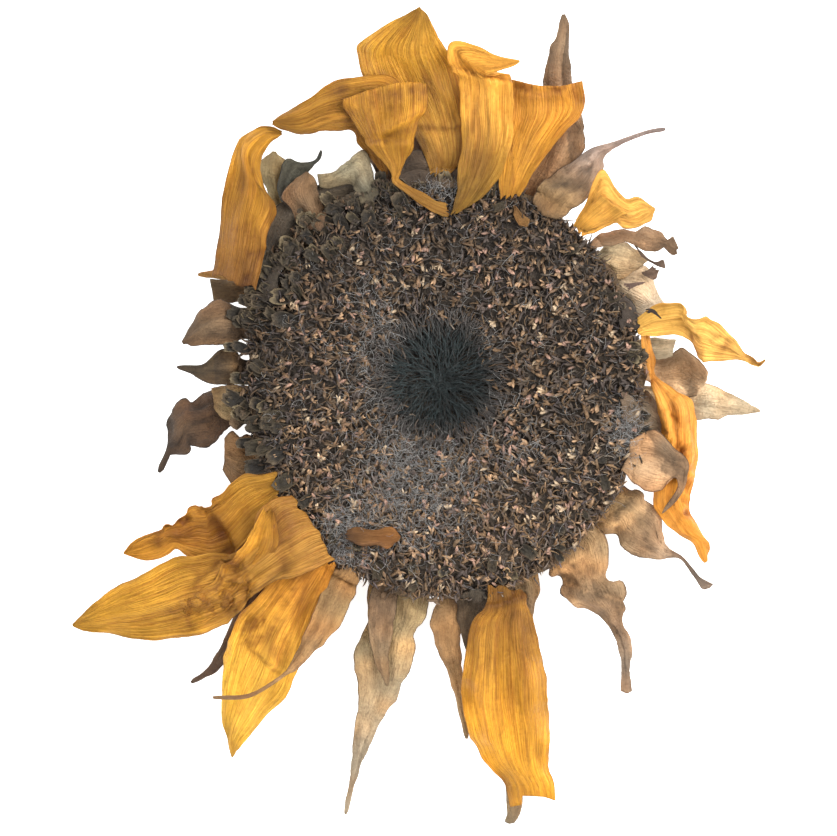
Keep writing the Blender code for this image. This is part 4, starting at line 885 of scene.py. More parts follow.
def disc_height(share):
    """Height of the floret disc without its relief: a flat dome with a sunken middle."""
    dome = DISC_EDGE + (DISC_CROWN - DISC_EDGE) * (1 - np.minimum(share, OVER_FLORETS) ** 4)
    return dome - CENTRE_DIP * np.exp(-((share / CENTRE_SHARE) ** 2))


def on_disc(x, y, above):
    """Points at the given heights above the disc's dome."""
    return np.column_stack([x, y, disc_height(rim_share(x, y)) + above])


def relief_height(share):
    """Height of one floret above the gaps round it, less in the sunken middle of small buds."""
    return np.interp(share, [BUD_SHARE, OPEN_SHARE], [BUD_RELIEF, FLORET_RELIEF])


def steps_between(points, step):
    """How many steps of about the given length the way from each point to the next takes."""
    spans = np.linalg.norm(np.diff(np.array(points, float), axis=0), axis=1)
    return np.maximum(1, np.round(spans / step)).astype(int)


def smooth_edge(points, steps):
    """A Catmull-Rom curve through the points, with each span cut into its own number of steps."""
    given = np.array(points, float)
    given = np.vstack([2 * given[0] - given[1], given, 2 * given[-1] - given[-2]])
    spans = []
    for number, count in enumerate(steps):
        a, b, c, d = given[number : number + 4, None]
        t = np.arange(count)[:, None] / count
        spans.append(
            0.5 * (2 * b + (c - a) * t + (2 * a - 5 * b + 4 * c - d) * t**2 + (3 * (b - c) + d - a) * t**3)
        )
    return np.vstack(spans + [given[-2:-1]])


def underside_share(height):
    """How far out the receptacle's side reaches at a height."""
    shares, heights = np.array([place for place in UNDERSIDE if place[1] < BLADE_SHELF]).T
    return np.interp(height, heights, shares)


def clear_of_head(grid, gap, sunk):
    """Lifts what would touch the florets; below the rim only what is sunk too deep is moved outwards."""
    share = rim_share(grid[..., 0], grid[..., 1])
    upper = grid[..., 2] > BLADE_SHELF
    floor = disc_height(share) + relief_height(share) * PEAK + gap
    lifted = np.where(upper & (share < OVER_FLORETS), np.maximum(grid[..., 2], floor), grid[..., 2])
    nearest = underside_share(grid[..., 2]) - sunk
    push = np.where(~upper & (share < nearest), nearest / np.maximum(share, 1e-6), 1.0)
    return np.stack([grid[..., 0] * push, grid[..., 1] * push, lifted], axis=-1)


def rooted(left, right):
    """Both edges with one point before them, sunk a little into the receptacle's side."""
    added = []
    for x, y, z in (left[0], right[0]):
        height = min(z - ROOT_DROP, HIGHEST_ROOT)
        reach = min((underside_share(height) - ROOT_SUNK) / rim_share(x, y), MOST_REACH)
        added.append((x * reach, y * reach, height))
    return [added[0]] + left, [added[1]] + right


def normals_of(grid):
    """The directions straight up from a grid's surface."""
    along = np.gradient(grid, axis=0)
    across = np.gradient(grid, axis=1)
    return unit(np.cross(across, along))


def line_distance(x, y, line):
    """Distance of each place from a line of straight pieces, and which side of it the place is on."""
    nearest, side = np.full(np.shape(x), np.inf), np.ones(np.shape(x))
    for (ax, ay), (bx, by) in zip(line, line[1:]):
        long = math.hypot(bx - ax, by - ay)
        dx, dy = (bx - ax) / long, (by - ay) / long
        along = np.clip((x - ax) * dx + (y - ay) * dy, 0, long)
        away = np.hypot(x - ax - along * dx, y - ay - along * dy)
        turned = np.sign((y - ay) * dx - (x - ax) * dy)
        side = np.where(away < nearest, turned, side)
        nearest = np.minimum(away, nearest)
    return nearest, side


def add_mesh(name, points, faces, finish, uv=None, tint=None, sharp=180.0):
    """A mesh object of points in millimetres; faces holds an index array for each kind of face.

    A tint that is too bright to keep is scaled down as a whole, so that its hue stays.
    """
    mesh = bpy.data.meshes.new(name)
    mesh.vertices.add(len(points))
    mesh.vertices.foreach_set("co", (np.asarray(points) * MM).astype(np.float32).ravel())
    corners = np.concatenate([np.asarray(part).ravel() for part in faces]).astype(np.int32)
    sizes = np.concatenate([np.full(len(part), np.shape(part)[1]) for part in faces])
    mesh.loops.add(len(corners))
    mesh.loops.foreach_set("vertex_index", corners)
    mesh.polygons.add(len(sizes))
    mesh.polygons.foreach_set("loop_start", (np.cumsum(sizes) - sizes).astype(np.int32))
    mesh.update(calc_edges=True)
    if uv is not None:
        layer = mesh.uv_layers.new(name="UVMap")
        layer.uv.foreach_set("vector", np.asarray(uv)[corners].astype(np.float32).ravel())
    if tint is not None:
        shown = np.maximum(tint, 0) * TINT_ROOM
        shown = shown / np.maximum(shown.max(axis=1, keepdims=True), 1)
        shades = np.column_stack([shown, np.ones(len(points))]).astype(np.float32)
        layer = mesh.color_attributes.new("tint", "FLOAT_COLOR", "POINT")
        layer.data.foreach_set("color", shades.ravel())
    mesh.shade_smooth()
    if sharp < 180:
        mesh.set_sharp_from_angle(angle=math.radians(sharp))
    mesh.materials.append(finish)
    obj = bpy.data.objects.new(name, mesh)
    bpy.context.scene.collection.objects.link(obj)
    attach(obj, "root")
    return obj


def sheet_faces(rows, columns):
    """Faces of a closed sheet: quads over the top, the same turned round underneath, and a rim."""
    top = np.arange(rows * columns).reshape(rows, columns)
    low = top + rows * columns
    upper = np.stack([top[:-1, :-1], top[:-1, 1:], top[1:, 1:], top[1:, :-1]], -1).reshape(-1, 4)
    border = np.concatenate([top[0, :-1], top[:-1, -1], top[-1, :0:-1], top[:0:-1, 0]])
    following = np.roll(border, -1)
    rim = np.stack([following, border, border + low[0, 0], following + low[0, 0]], -1)
    return [np.concatenate([upper, upper[:, ::-1] + low[0, 0], rim])]


def tubes(paths, radii, sides, flat=1.0):
    """Closed tubes round many paths: at each step a ring of points, its second axis pressed flat."""
    along = unit(np.gradient(paths, axis=1))
    askew = np.array([0.31, 0.52, 0.79])
    first = unit(np.cross(along, askew))
    second = np.cross(along, first) * flat
    turn = (np.arange(sides) * 2 * math.pi / sides)[:, None]
    ring = np.cos(turn) * first[:, :, None] + np.sin(turn) * second[:, :, None]
    points = paths[:, :, None] + radii[:, :, None, None] * ring
    index = np.arange(points[..., 0].size).reshape(points.shape[:3])
    near, far = index[:, :-1], index[:, 1:]
    quads = np.stack([near, np.roll(near, -1, 2), np.roll(far, -1, 2), far], -1).reshape(-1, 4)
    return points.reshape(-1, 3), [quads, index[:, 0, ::-1], index[:, -1]]


def curling_paths(start, heading, climb, length, turn, droop, rings):
    """Paths that set off with a heading and a climb, in radians, and turn and droop on their way."""
    gone = np.linspace(0, 1, rings)
    headed = heading[:, None] + turn[:, None] * gone
    climbed = climb[:, None] + droop[:, None] * gone
    level = np.cos(climbed)
    move = np.stack([level * np.cos(headed), level * np.sin(headed), np.sin(climbed)], -1)
    move = move * (length / (rings - 1))[:, None, None]
    steps = np.concatenate([np.zeros((len(start), 1, 3)), np.cumsum(move[:, :-1], axis=1)], axis=1)
    return start[:, None] + steps


def shades_along(stops, places, rings, sides):
    """Colours for tubes: each passes through its stops at the given shares of its length."""
    gone = np.linspace(0, 1, rings)
    weights = np.array([np.interp(gone, places, row) for row in np.eye(len(places))])
    along = np.einsum("sr,snc->nrc", weights, np.array(stops))
    return np.repeat(along, sides, axis=1).reshape(-1, 3)


def add_tubes(name, paths, radii, sides, stops, places, finish, flat=1.0):
    """Tubes of the floret disc round their paths, coloured along their length."""
    points, faces = tubes(paths, radii, sides, flat)
    tint = shades_along(stops, places, paths.shape[1], sides)
    obj = add_mesh(name, points, faces, finish, tint=tint)
    return obj


def put(tree, kind, values=(), **settings):
    """Adds a node, sets its properties, and fills its inputs with numbers or links from other sockets."""
    node = tree.nodes.new(kind)
    for name, value in settings.items():
        setattr(node, name, value)
    for key, value in dict(values).items():
        socket = node.inputs[key]
        if isinstance(value, bpy.types.NodeSocket):
            tree.links.new(value, socket)
        else:
            socket.default_value = value
    return node


def sums(tree, operation, first, second=0.0, third=0.0):
    """The result of a Math node."""
    return put(tree, "ShaderNodeMath", {0: first, 1: second, 2: third}, operation=operation).outputs[0]


def times(tree, first, second):
    """The product of two values."""
    return sums(tree, "MULTIPLY", first, second)


def spread(tree, value, low, high, bottom=0.0, top=1.0):
    """A value mapped smoothly from one range to another."""
    values = {"Value": value, "From Min": low, "From Max": high, "To Min": bottom, "To Max": top}
    return put(tree, "ShaderNodeMapRange", values, interpolation_type="SMOOTHSTEP").outputs[0]


def mixed(tree, share, first, second, way="MIX"):
    """The first colour with a share of the second laid over it."""
    return put(
        tree, "ShaderNodeMix", {0: share, 6: first, 7: second}, data_type="RGBA", blend_type=way
    ).outputs[2]


def group(name, inputs, outputs):
    """A new shader node group with number inputs and their defaults, and number outputs."""
    tree = bpy.data.node_groups.new(name, "ShaderNodeTree")
    for label, value in inputs.items():
        tree.interface.new_socket(label, in_out="INPUT", socket_type="NodeSocketFloat").default_value = value
    for label in outputs:
        tree.interface.new_socket(label, in_out="OUTPUT", socket_type="NodeSocketFloat")
    return tree, put(tree, "NodeGroupInput").outputs, put(tree, "NodeGroupOutput").inputs


def noise_value(tree, place, scale, detail, roughness=0.5):
    """Noise over a place, at a scale, with finer noise of the given share in as many steps as detail."""
    values = {"Vector": place, "Scale": scale, "Detail": detail, "Roughness": roughness}
    return put(tree, "ShaderNodeTexNoise", values).outputs[0]


def leaf_veins_group():
    """Streaks, ridges and thin lines that run along a blade's UV map and gather where it narrows."""
    inputs = {"Across": 30, "Along": 2, "Waver": 0.04}
    tree, given, result = group("Leaf Veins", inputs, ["Streaks", "Ridges", "Lines"])
    place = put(tree, "ShaderNodeSeparateXYZ", {0: put(tree, "ShaderNodeUVMap").outputs[0]}).outputs
    slow = put(tree, "ShaderNodeCombineXYZ", {0: place[0], 1: times(tree, place[1], 3.0)}).outputs[0]
    bend = noise_value(tree, slow, scale=1.3, detail=2)
    shift = times(tree, sums(tree, "SUBTRACT", bend, 0.5), given["Waver"])
    across = times(tree, sums(tree, "ADD", place[1], shift), given["Across"])
    along = times(tree, place[0], given["Along"])
    stretched = put(tree, "ShaderNodeCombineXYZ", {0: along, 1: across}).outputs[0]
    coarse = noise_value(tree, stretched, scale=1.0, detail=3, roughness=0.6)
    fine = noise_value(tree, stretched, scale=2.7, detail=2, roughness=0.6)
    tree.links.new(spread(tree, coarse, low=0.34, high=0.66), result["Streaks"])
    tree.links.new(spread(tree, fine, low=0.3, high=0.7), result["Ridges"])
    rib = noise_value(tree, stretched, scale=1.4, detail=1)
    away = sums(tree, "ABSOLUTE", sums(tree, "SUBTRACT", rib, 0.5))
    tree.links.new(spread(tree, away, low=0.055, high=0.0), result["Lines"])
    return tree


def dry_mottle_group():
    """Soft blotches over the object's own coordinates, from 0 in the dull patches to 1 in the clear."""
    tree, given, result = group("Dry Mottle", {"Scale": 200, "Low": 0.35, "High": 0.65}, ["Value"])
    place = put(tree, "ShaderNodeTexCoord").outputs["Object"]
    blotch = noise_value(tree, place, given["Scale"], detail=4)
    tree.links.new(spread(tree, blotch, given["Low"], given["High"]), result["Value"])
    return tree


def dry_edge_group():
    """How near a blade's two long edges a place is, with an uneven border."""
    tree, given, result = group("Dry Edge", {"Width": 0.08}, ["Mask"])
    place = put(tree, "ShaderNodeUVMap").outputs[0]
    split = put(tree, "ShaderNodeSeparateXYZ", {0: place}).outputs
    away = sums(tree, "ABSOLUTE", sums(tree, "MULTIPLY_ADD", split[1], 2.0, -1.0))
    ragged = noise_value(tree, place, scale=9.0, detail=3)
    width = times(tree, given["Width"], times(tree, ragged, 2.0))
    tree.links.new(spread(tree, away, sums(tree, "SUBTRACT", 1.0, width), 1.0), result["Mask"])
    return tree


def placed(tree, name, values=()):
    """A group node in a material, with the group made on its first use."""
    made = bpy.data.node_groups.get(name) or NODE_GROUPS[name]()
    return put(tree, "ShaderNodeGroup", values, node_tree=made).outputs


NODE_GROUPS = {
    "Leaf Veins": leaf_veins_group,
    "Dry Mottle": dry_mottle_group,
    "Dry Edge": dry_edge_group,
}


def plain_material(name, roughness):
    """A new material, its node tree and its shader."""
    made = bpy.data.materials.new(name)
    made.use_nodes = True
    shader = made.node_tree.nodes["Principled BSDF"]
    shader.inputs["Roughness"].default_value = roughness
    return made, made.node_tree, shader


def finish_surface(tree, shader, colour, height, depth):
    """Feeds a shader its colour and a bump of the given depth in metres."""
    bump = put(tree, "ShaderNodeBump", {"Height": height, "Distance": depth, "Strength": 1.0})
    tree.links.new(colour, shader.inputs["Base Color"])
    tree.links.new(bump.outputs[0], shader.inputs["Normal"])


def tint_of(tree):
    """The tint that each point of a mesh holds."""
    return put(tree, "ShaderNodeAttribute", attribute_name="tint").outputs["Color"]


def darkened(tree, tint, shade):
    """A tint multiplied by a shade."""
    return mixed(tree, 1.0, tint, shade, "MULTIPLY")


def petal_material(looks):
    """Golden dry petal: long brown streaks and fine veins along it, dull blotches and a thin brown edge."""
    made, tree, shader = plain_material("Dry Petal", 0.55)
    tint = tint_of(tree)
    broad = placed(tree, "Leaf Veins", {"Across": 7, "Along": 0.25, "Waver": 0.012})
    thin = placed(tree, "Leaf Veins", {"Across": 30, "Along": 0.3, "Waver": 0.008})
    blotch = placed(tree, "Dry Mottle", {"Scale": 170})["Value"]
    grain = placed(tree, "Dry Mottle", {"Scale": 1000, "Low": 0.3, "High": 0.7})["Value"]
    edge = placed(tree, "Dry Edge", {"Width": 0.03})["Mask"]
    shader.inputs["Specular IOR Level"].default_value = 0.3
    brown = darkened(tree, tint, (*looks.streak, 1))
    share = times(tree, spread(tree, broad["Streaks"], 0.5, 0.0), 0.4)
    share = times(tree, share, spread(tree, blotch, 0.9, 0.1, 0.2, 1.0))
    base = mixed(tree, share, tint, brown)
    for part, strength in ((thin["Streaks"], 0.45), (grain, 0.25), (blotch, 0.12)):
        base = mixed(tree, times(tree, spread(tree, part, 0.5, 0.0), strength), base, brown)
    for mask, strength in ((thin["Lines"], 0.4), (edge, 0.4)):
        base = mixed(tree, times(tree, mask, strength), base, brown)
    ribs = sums(tree, "SUBTRACT", times(tree, thin["Ridges"], 0.7), thin["Lines"])
    height = sums(tree, "ADD", ribs, times(tree, sums(tree, "ADD", grain, blotch), 0.5))
    finish_surface(tree, shader, base, height, depth=0.00018)
    return made


def bract_material(looks):
    """Withered leaf: fibrous, with thin veins along it, fine speckles, faint blotches and a worn edge."""
    made, tree, shader = plain_material("Withered Bract", 0.8)
    tint = tint_of(tree)
    veins = placed(tree, "Leaf Veins", {"Across": 16, "Along": 0.8, "Waver": 0.04})
    blotch = placed(tree, "Dry Mottle", {"Scale": 130})["Value"]
    speckle = placed(tree, "Dry Mottle", {"Scale": 1500, "Low": 0.3, "High": 0.7})["Value"]
    edge = placed(tree, "Dry Edge", {"Width": 0.06})["Mask"]
    dull = darkened(tree, tint, (*looks.blotch, 1))
    light = darkened(tree, tint, (*looks.vein, 1))
    base = mixed(tree, times(tree, spread(tree, blotch, 0.75, 0.1), 0.4), tint, dull)
    base = mixed(tree, times(tree, spread(tree, speckle, 0.5, 0.0), 0.45), base, dull)
    base = mixed(tree, times(tree, veins["Lines"], 0.45), base, dull)
    base = mixed(tree, times(tree, spread(tree, veins["Streaks"], 0.6, 1.0), 0.35), base, light)
    base = mixed(tree, times(tree, edge, 0.8), base, darkened(tree, dull, dull))
    height = sums(tree, "ADD", times(tree, veins["Ridges"], 1.2), speckle)
    finish_surface(tree, shader, base, height, depth=0.0002)
    return made


def tinted_material(name, roughness, scale, depth):
    """A dry surface in its own tint, unevenly darkened."""
    made, tree, shader = plain_material(name, roughness)
    tint = tint_of(tree)
    patch = placed(tree, "Dry Mottle", {"Scale": scale})["Value"]
    dull = darkened(tree, tint, (0.62, 0.58, 0.55, 1))
    base = mixed(tree, spread(tree, patch, 0.7, 0.0), tint, dull)
    finish_surface(tree, shader, base, patch, depth)
    return made


def blade_surface(left, right, columns, crown, phase, step, wobble, cut=STRAIGHT_END):
    """A solid's middle surface on a finer grid: the space between the edges, arched and lightly pleated.

    Its edges waver a little, its root is ragged, its end follows its cut, and a narrow end comes to a
    point. Comes with how far along and across it each point lies, as shares and in millimetres.
    """
    steps = steps_between((np.array(left, float) + np.array(right, float)) / 2, step)
    left, right = smooth_edge(left, steps), smooth_edge(right, steps)
    v = np.linspace(-1, 1, columns + 1)[None, :]
    u = np.linspace(0, 1, len(left))[:, None]
    middle, half = (left + right)[:, None] / 2, (right - left)[:, None] / 2
    moved = np.diff(middle[:, 0], axis=0, prepend=middle[:1, 0])
    gone = np.cumsum(np.linalg.norm(moved, axis=1))[:, None]
    ahead = gone[-1] - gone
    end_wide = 2 * np.linalg.norm(half[-1])
    if end_wide < NARROW_END and len(cut) == 1:
        half = half * np.sqrt(np.clip((ahead + TIP_LEFT) / (0.9 * end_wide + 0.5), 0, 1))[..., None]
    wide = np.linalg.norm(half, axis=2)
    side = 9.0 * (v > 0)
    waver = noise(gone / 3.1 + side, 0, phase + 50) + 0.4 * noise(gone / 0.9 + side, 0, phase + 51)
    shift = wobble * v**3 * waver / np.maximum(wide, 1)
    flat = middle + half * (v + shift)[..., None]
    back = np.interp(v, *np.transpose(cut)) * np.clip(1 - ahead / END_REACH, 0, 1)
    torn = RAGGED_ROOT * (0.5 + 0.5 * noise(v * 5, 0, phase + 52)) * np.clip(1 - gone / END_REACH, 0, 1)
    along = unit(np.gradient(middle[:, 0], axis=0))[:, None]
    flat = flat + along * (torn - back)[..., None]
    pleat = PLEAT_SHARE * np.cos(PLEATS * math.pi * v + phase + 2 * u)
    ruffle = RUFFLE_SHARE * v**2 * np.sin(2 * math.pi * gone / RUFFLE_LENGTH + phase + 1.3 * v)
    lift = (crown * (1 - v**2) + (pleat + ruffle) * np.sin(math.pi * u)) * wide
    return flat + normals_of(flat) * lift[..., None], u, v, gone, v * wide


def fold_relief(x, y, folds, seed):
    """Lift, painted darkness and painted highlight gain from folds and marks, each fading with distance
    from its line.

    Ridges and steps have a groove of painted shade along their line, and crumpled bands painted shade in
    their hollows. A stain's darkness is partly the blade's own browning and partly painted shade; shadows
    are painted shadows, and lights and lips are painted highlights.
    """
    lift, dark, glow = np.zeros((3, *x.shape))
    rough = crumple(x / CRUMPLE_SIZE, y / CRUMPLE_SIZE, seed)
    for kind, size, reach, line in folds:
        away, side = line_distance(x, y, line)
        left = side > 0
        fade = np.exp(-((away / reach) ** 2))
        groove = np.exp(-((away / (GROOVE_SHARE * reach)) ** 2))
        if kind == "ridge":
            lift += size * fade
            dark = np.maximum(dark, 0.35 * groove * left)
        elif kind == "step":
            lift += size * fade * side * np.tanh(away / STEP_WIDTH)
            dark = np.maximum(dark, 0.6 * groove * (side < 0))
        elif kind == "crumple":
            lift += size * fade * rough
            dark = np.maximum(dark, fade * np.clip(0.35 - 0.8 * rough, 0, 1))
        elif kind == "stain_and_shade":
            dark = np.maximum(dark, size * fade * (0.8 + 0.35 * rough))
        elif kind == "shadow":
            dark = np.maximum(dark, size * fade * left)
        elif kind == "lip":
            glow = np.maximum(glow, size * fade * left)
        else:
            glow = np.maximum(glow, size * fade)
    return lift, dark, 1 + glow * (1 - dark)


def sheet_points(grid, thickness):
    """The two faces of a thin sheet round its middle surface, drawn in to a thin edge."""
    rows, columns = grid.shape[:2]
    near = np.minimum(np.arange(columns), np.arange(columns)[::-1])
    half = thickness / 2 * np.interp(near, [0, 2], [0.35, 1.0])[None, :, None]
    offset = normals_of(grid) * half
    return np.concatenate([(grid + offset).reshape(-1, 3), (grid - offset).reshape(-1, 3)])


def blade_uv(gone, v, number):
    """UV map of a blade: centimetres along it, starting elsewhere for each blade, and share across."""
    along = np.broadcast_to(gone / 10 + 11 * number, (len(gone), v.shape[1]))
    across = np.broadcast_to((v + 1) / 2, along.shape)
    return np.tile(np.stack([along, across], -1).reshape(-1, 2), (2, 1))


def add_blade(name, number, grid, thickness, gone, v, shade, finish):
    """A thin sheet round a middle surface, with its UV map and the same shade on both faces."""
    tint = np.tile(shade.reshape(-1, 3), (2, 1))
    points, faces = sheet_points(grid, thickness), sheet_faces(*grid.shape[:2])
    return add_mesh(name, points, faces, finish, blade_uv(gone, v, number), tint)


def make_petal(number, node, looks, finish):
    """A thin petal in its solid's place.

    Its middle surface is the solid's own, lifted by long fine pleats, by crumples and by its creases,
    and its edges curl in short waves.
    """
    grid, u, v, gone, across = blade_surface(
        *PETALS[node], PETAL_COLUMNS, CROWNS.get(node, PETAL_CROWN), phase=number, step=PETAL_STEP,
        wobble=PETAL_WOBBLE, cut=ENDS.get(node, STRAIGHT_END)
    )
    seed = PETAL_SEED + number
    x, y = grid[..., 0], grid[..., 1]
    pleats = grooves(across, gone, wide=1.1, long=9, seed=seed, sway=0.3 * np.sin(gone / 5))
    folds = grooves(across, gone, wide=3.2, long=14, seed=seed + 40)
    papery = two_crumples(x, y, coarse=10, fine=3.4, seed=seed)
    curl = edge_curl(gone, v, height=0.7, length=4, seed=seed + 80)
    lift, dark, highlight_gain = fold_relief(x, y, PETAL_FOLDS.get(node, ()), seed)
    relief = looks.pleat_height * pleats + looks.fold_height * folds + looks.crumple_height * papery
    rise = (relief + curl) * smooth_step(u, 0, 0.12) + lift
    grid = clear_of_head(grid + normals_of(grid) * rise[..., None], PETAL_GAP, 0)
    root, tip = (np.array(tone(*shade)) for shade in PETAL_TONES[node])
    shade = blend(root, tip, smooth_step(u, 0.0, 0.75)[..., None])
    # Painted shading: the tint is darker in the hollows of folds, pleats and crumples and lighter on their
    # crests, then takes the marks' painted shade, stains and painted highlights
    painted_shading = np.clip(1 + 0.16 * folds + 0.12 * papery + 0.12 * pleats, 0.6, 1.3)
    shade = shade * (highlight_gain * painted_shading)[..., None] * blend(np.ones(3), np.array(looks.stain_and_shade), dark[..., None])
    name = node.replace("petal", "ray")
    obj = add_blade(name, number, grid, looks.petal_thickness, gone, v, shade, finish)
    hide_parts(node)
    return obj


def make_bract(number, node, looks, finish):
    """A withered leaf in its solid's place.

    Its middle surface is the solid's own, crumpled in two sizes, with a raised midrib.
    """
    finer = FOLDED_FINER if node in BRACT_FOLDS else 1
    grid, u, v, gone, across = blade_surface(
        *rooted(*BRACTS[node]), round(BRACT_COLUMNS * finer), CROWNS.get(node, BRACT_CROWN),
        phase=number, step=BRACT_STEP / finer, wobble=BRACT_WOBBLE, cut=ENDS.get(node, STRAIGHT_END)
    )
    seed = BRACT_SEED + number
    x, y = grid[..., 0], grid[..., 1]
    papery = two_crumples(x, y, coarse=7, fine=2.8, seed=seed)
    folds = grooves(across, gone, wide=2.2, long=8, seed=seed + 40)
    curl = edge_curl(gone, v, height=0.6, length=3, seed=seed + 80)
    hue = np.clip(noise(x / 5, y / 5, seed + 60), -1, 1)[..., None]
    broad = smooth_step(np.abs(across).max(axis=1, keepdims=True), 0.5, 3.5)
    midrib = MIDRIB_HEIGHT * np.exp(-((across / MIDRIB_WIDTH) ** 2))
    lift, dark, highlight_gain = fold_relief(x, y, BRACT_FOLDS.get(node, ()), seed)
    relief = looks.leaf_crumple * papery + 0.3 * folds + curl
    rise = relief * broad * smooth_step(u, 0, 0.15) + midrib + lift
    grid = clear_of_head(grid + normals_of(grid) * rise[..., None], PETAL_GAP, ROOT_SUNK)
    root, tip = (np.array(tone(*shade)) for shade in BRACT_TONES.get(node, (WITHERED, WITHERED)))
    shade = blend(root, tip, smooth_step(u, 0.15, 0.9)[..., None])
    # Painted shading: darker in the hollows of crumples and folds and lighter on their crests, with the
    # marks' painted shade, stains and painted highlights
    painted_shading = np.clip(1 + 0.22 * papery + 0.15 * folds, 0.5, 1.4) * (1 - 0.65 * dark) * highlight_gain
    # Painted shadow where the bract leaves the head: darkest at its root, fading over its first millimetres
    painted_shading = painted_shading * blend(looks.painted_root_shadow, 1.0, smooth_step(gone, 0.5, 7.0))
    shade = shade * (1 + hue * np.array(HUE_CHANGE)) * painted_shading[..., None]
    name = node.replace("bract", "leaf")
    obj = add_blade(name, number, grid, looks.bract_thickness, gone, v, shade, finish)
    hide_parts(node)
    return obj


def height_over(name, x, y):
    """Height of a sheet's upper face at each place: the mean of its points that are nearest from above."""
    vertices = bpy.data.objects[name].data.vertices
    points = np.empty(3 * len(vertices))
    vertices.foreach_get("co", points)
    points = points.reshape(-1, 3)[: len(vertices) // 2] / MM
    away = np.hypot(x.reshape(-1, 1) - points[:, 0], y.reshape(-1, 1) - points[:, 1])
    near = np.argpartition(away, NEAR_POINTS, axis=1)[:, :NEAR_POINTS]
    return points[near, 2].mean(axis=1).reshape(x.shape)


def make_scrap(number, name, looks, finish):
    """A small dry piece in the space between its two edges, crumpled like a petal."""
    grid, u, v, gone, _ = blade_surface(
        *SCRAPS[name], SCRAP_COLUMNS, SCRAP_CROWN, phase=number, step=SCRAP_STEP, wobble=SCRAP_WOBBLE
    )
    if name in FOLDS_ON:
        grid[..., 2] += height_over(FOLDS_ON[name], grid[..., 0], grid[..., 1])
    seed = SCRAP_SEED + number
    x, y = grid[..., 0], grid[..., 1]
    papery = crumple(x / 5, y / 5, seed)
    lift, dark, highlight_gain = fold_relief(x, y, PETAL_FOLDS.get(name, ()), seed)
    grid = clear_of_head(grid + normals_of(grid) * (0.3 * papery + lift)[..., None], SCRAP_GAP, 0)
    first, last = (np.array(tone(*shade)) for shade in SCRAP_TONES[name])
    # Painted light and shade: the tint is lighter on crumpled crests and darker in their hollows, and takes
    # the painted highlights, painted shade and stains of the marks
    shade = blend(first, last, u[..., None]) * ((1 + 0.3 * papery) * highlight_gain)[..., None]
    shade = shade * blend(np.ones(3), np.array(looks.stain_and_shade), dark[..., None])
    obj = add_blade(name, 20 + number, grid, looks.petal_thickness, gone, v, shade, finish)
    return obj


def turned(shares, heights, sides, wrinkle):
    """A closed turned body: rings from its profile, each radius and height changed by wrinkle.

    wrinkle(share, angle, height) gives the share and height of each point; both ends are capped.
    """
    angle = np.arange(sides)[None, :] * 2 * math.pi / sides
    share, height = wrinkle(np.array(shares)[:, None], angle, np.array(heights)[:, None])
    x, y = on_ellipse(share, angle)
    points = np.stack([x, y, height], -1)
    index = np.arange(points[..., 0].size).reshape(points.shape[:2])
    near, far = index[:-1], index[1:]
    quads = np.stack([near, np.roll(near, -1, 1), np.roll(far, -1, 1), far], -1).reshape(-1, 4)
    return points.reshape(-1, 3), [quads, index[:1, ::-1], index[-1:]]


def profile_through(points, step):
    """A smooth profile through (share, height) points, cut into steps of about the given length."""
    solid = [(share * HEAD_WIDE / 2, 0, height) for share, height in points]
    curve = smooth_edge(solid, steps_between(solid, step))
    return curve[:, 0] / (HEAD_WIDE / 2), curve[:, 2]


def make_receptacle(looks, finish):
    """The dish, turned from its solid's profile: puckered by radial wrinkles, with a sunk stem scar."""
    top = [(0.5, RECEPTACLE_TOP - 0.2), (0.01, RECEPTACLE_TOP)]
    shares, heights = profile_through(STEM_SCAR + UNDERSIDE + top, DISH_STEP)

    def wrinkle(share, angle, height):
        side = (height < RECEPTACLE_TOP - 0.5) * smooth_step(share, FLAT_SPOT_SHARE, FLAT_SPOT_SHARE + 0.3)
        puckers = 0.011 * np.cos(11 * angle) + 0.009 * np.cos(24 * angle + 5 * share) - 0.01
        ribs = 0.006 * (noise(angle * 26 / math.pi * 2, share * 4, 5) - 0.4)
        across, along = 30 * share * np.cos(angle), 30 * share * np.sin(angle)
        pits = 0.16 * noise(across, along, 6) * (share < SCAR_SHARE) * (height > 0.4)
        return share * (1 + side * (puckers + ribs)), np.maximum(height + pits, 0)

    points, faces = turned(shares, heights, DISH_SIDES, wrinkle)
    share = rim_share(points[:, 0], points[:, 1])
    patch = noise(points[:, 0] / 6, points[:, 1] / 6 + points[:, 2] / 4, 8)[:, None]
    rim = smooth_step(share, 0.5, 1.0)[:, None]
    skin = blend(np.array(looks.dish_low), np.array(looks.dish_rim), rim) * (1 + 0.25 * patch)
    scar = (share < SCAR_SHARE)[:, None] & (points[:, 2:] < 2)
    tint = np.where(scar, np.array(tone(*SCAR_TONE)), skin)
    obj = add_mesh("head_dish", points, faces, finish, tint=tint, sharp=60)
    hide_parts("receptacle")
    return obj


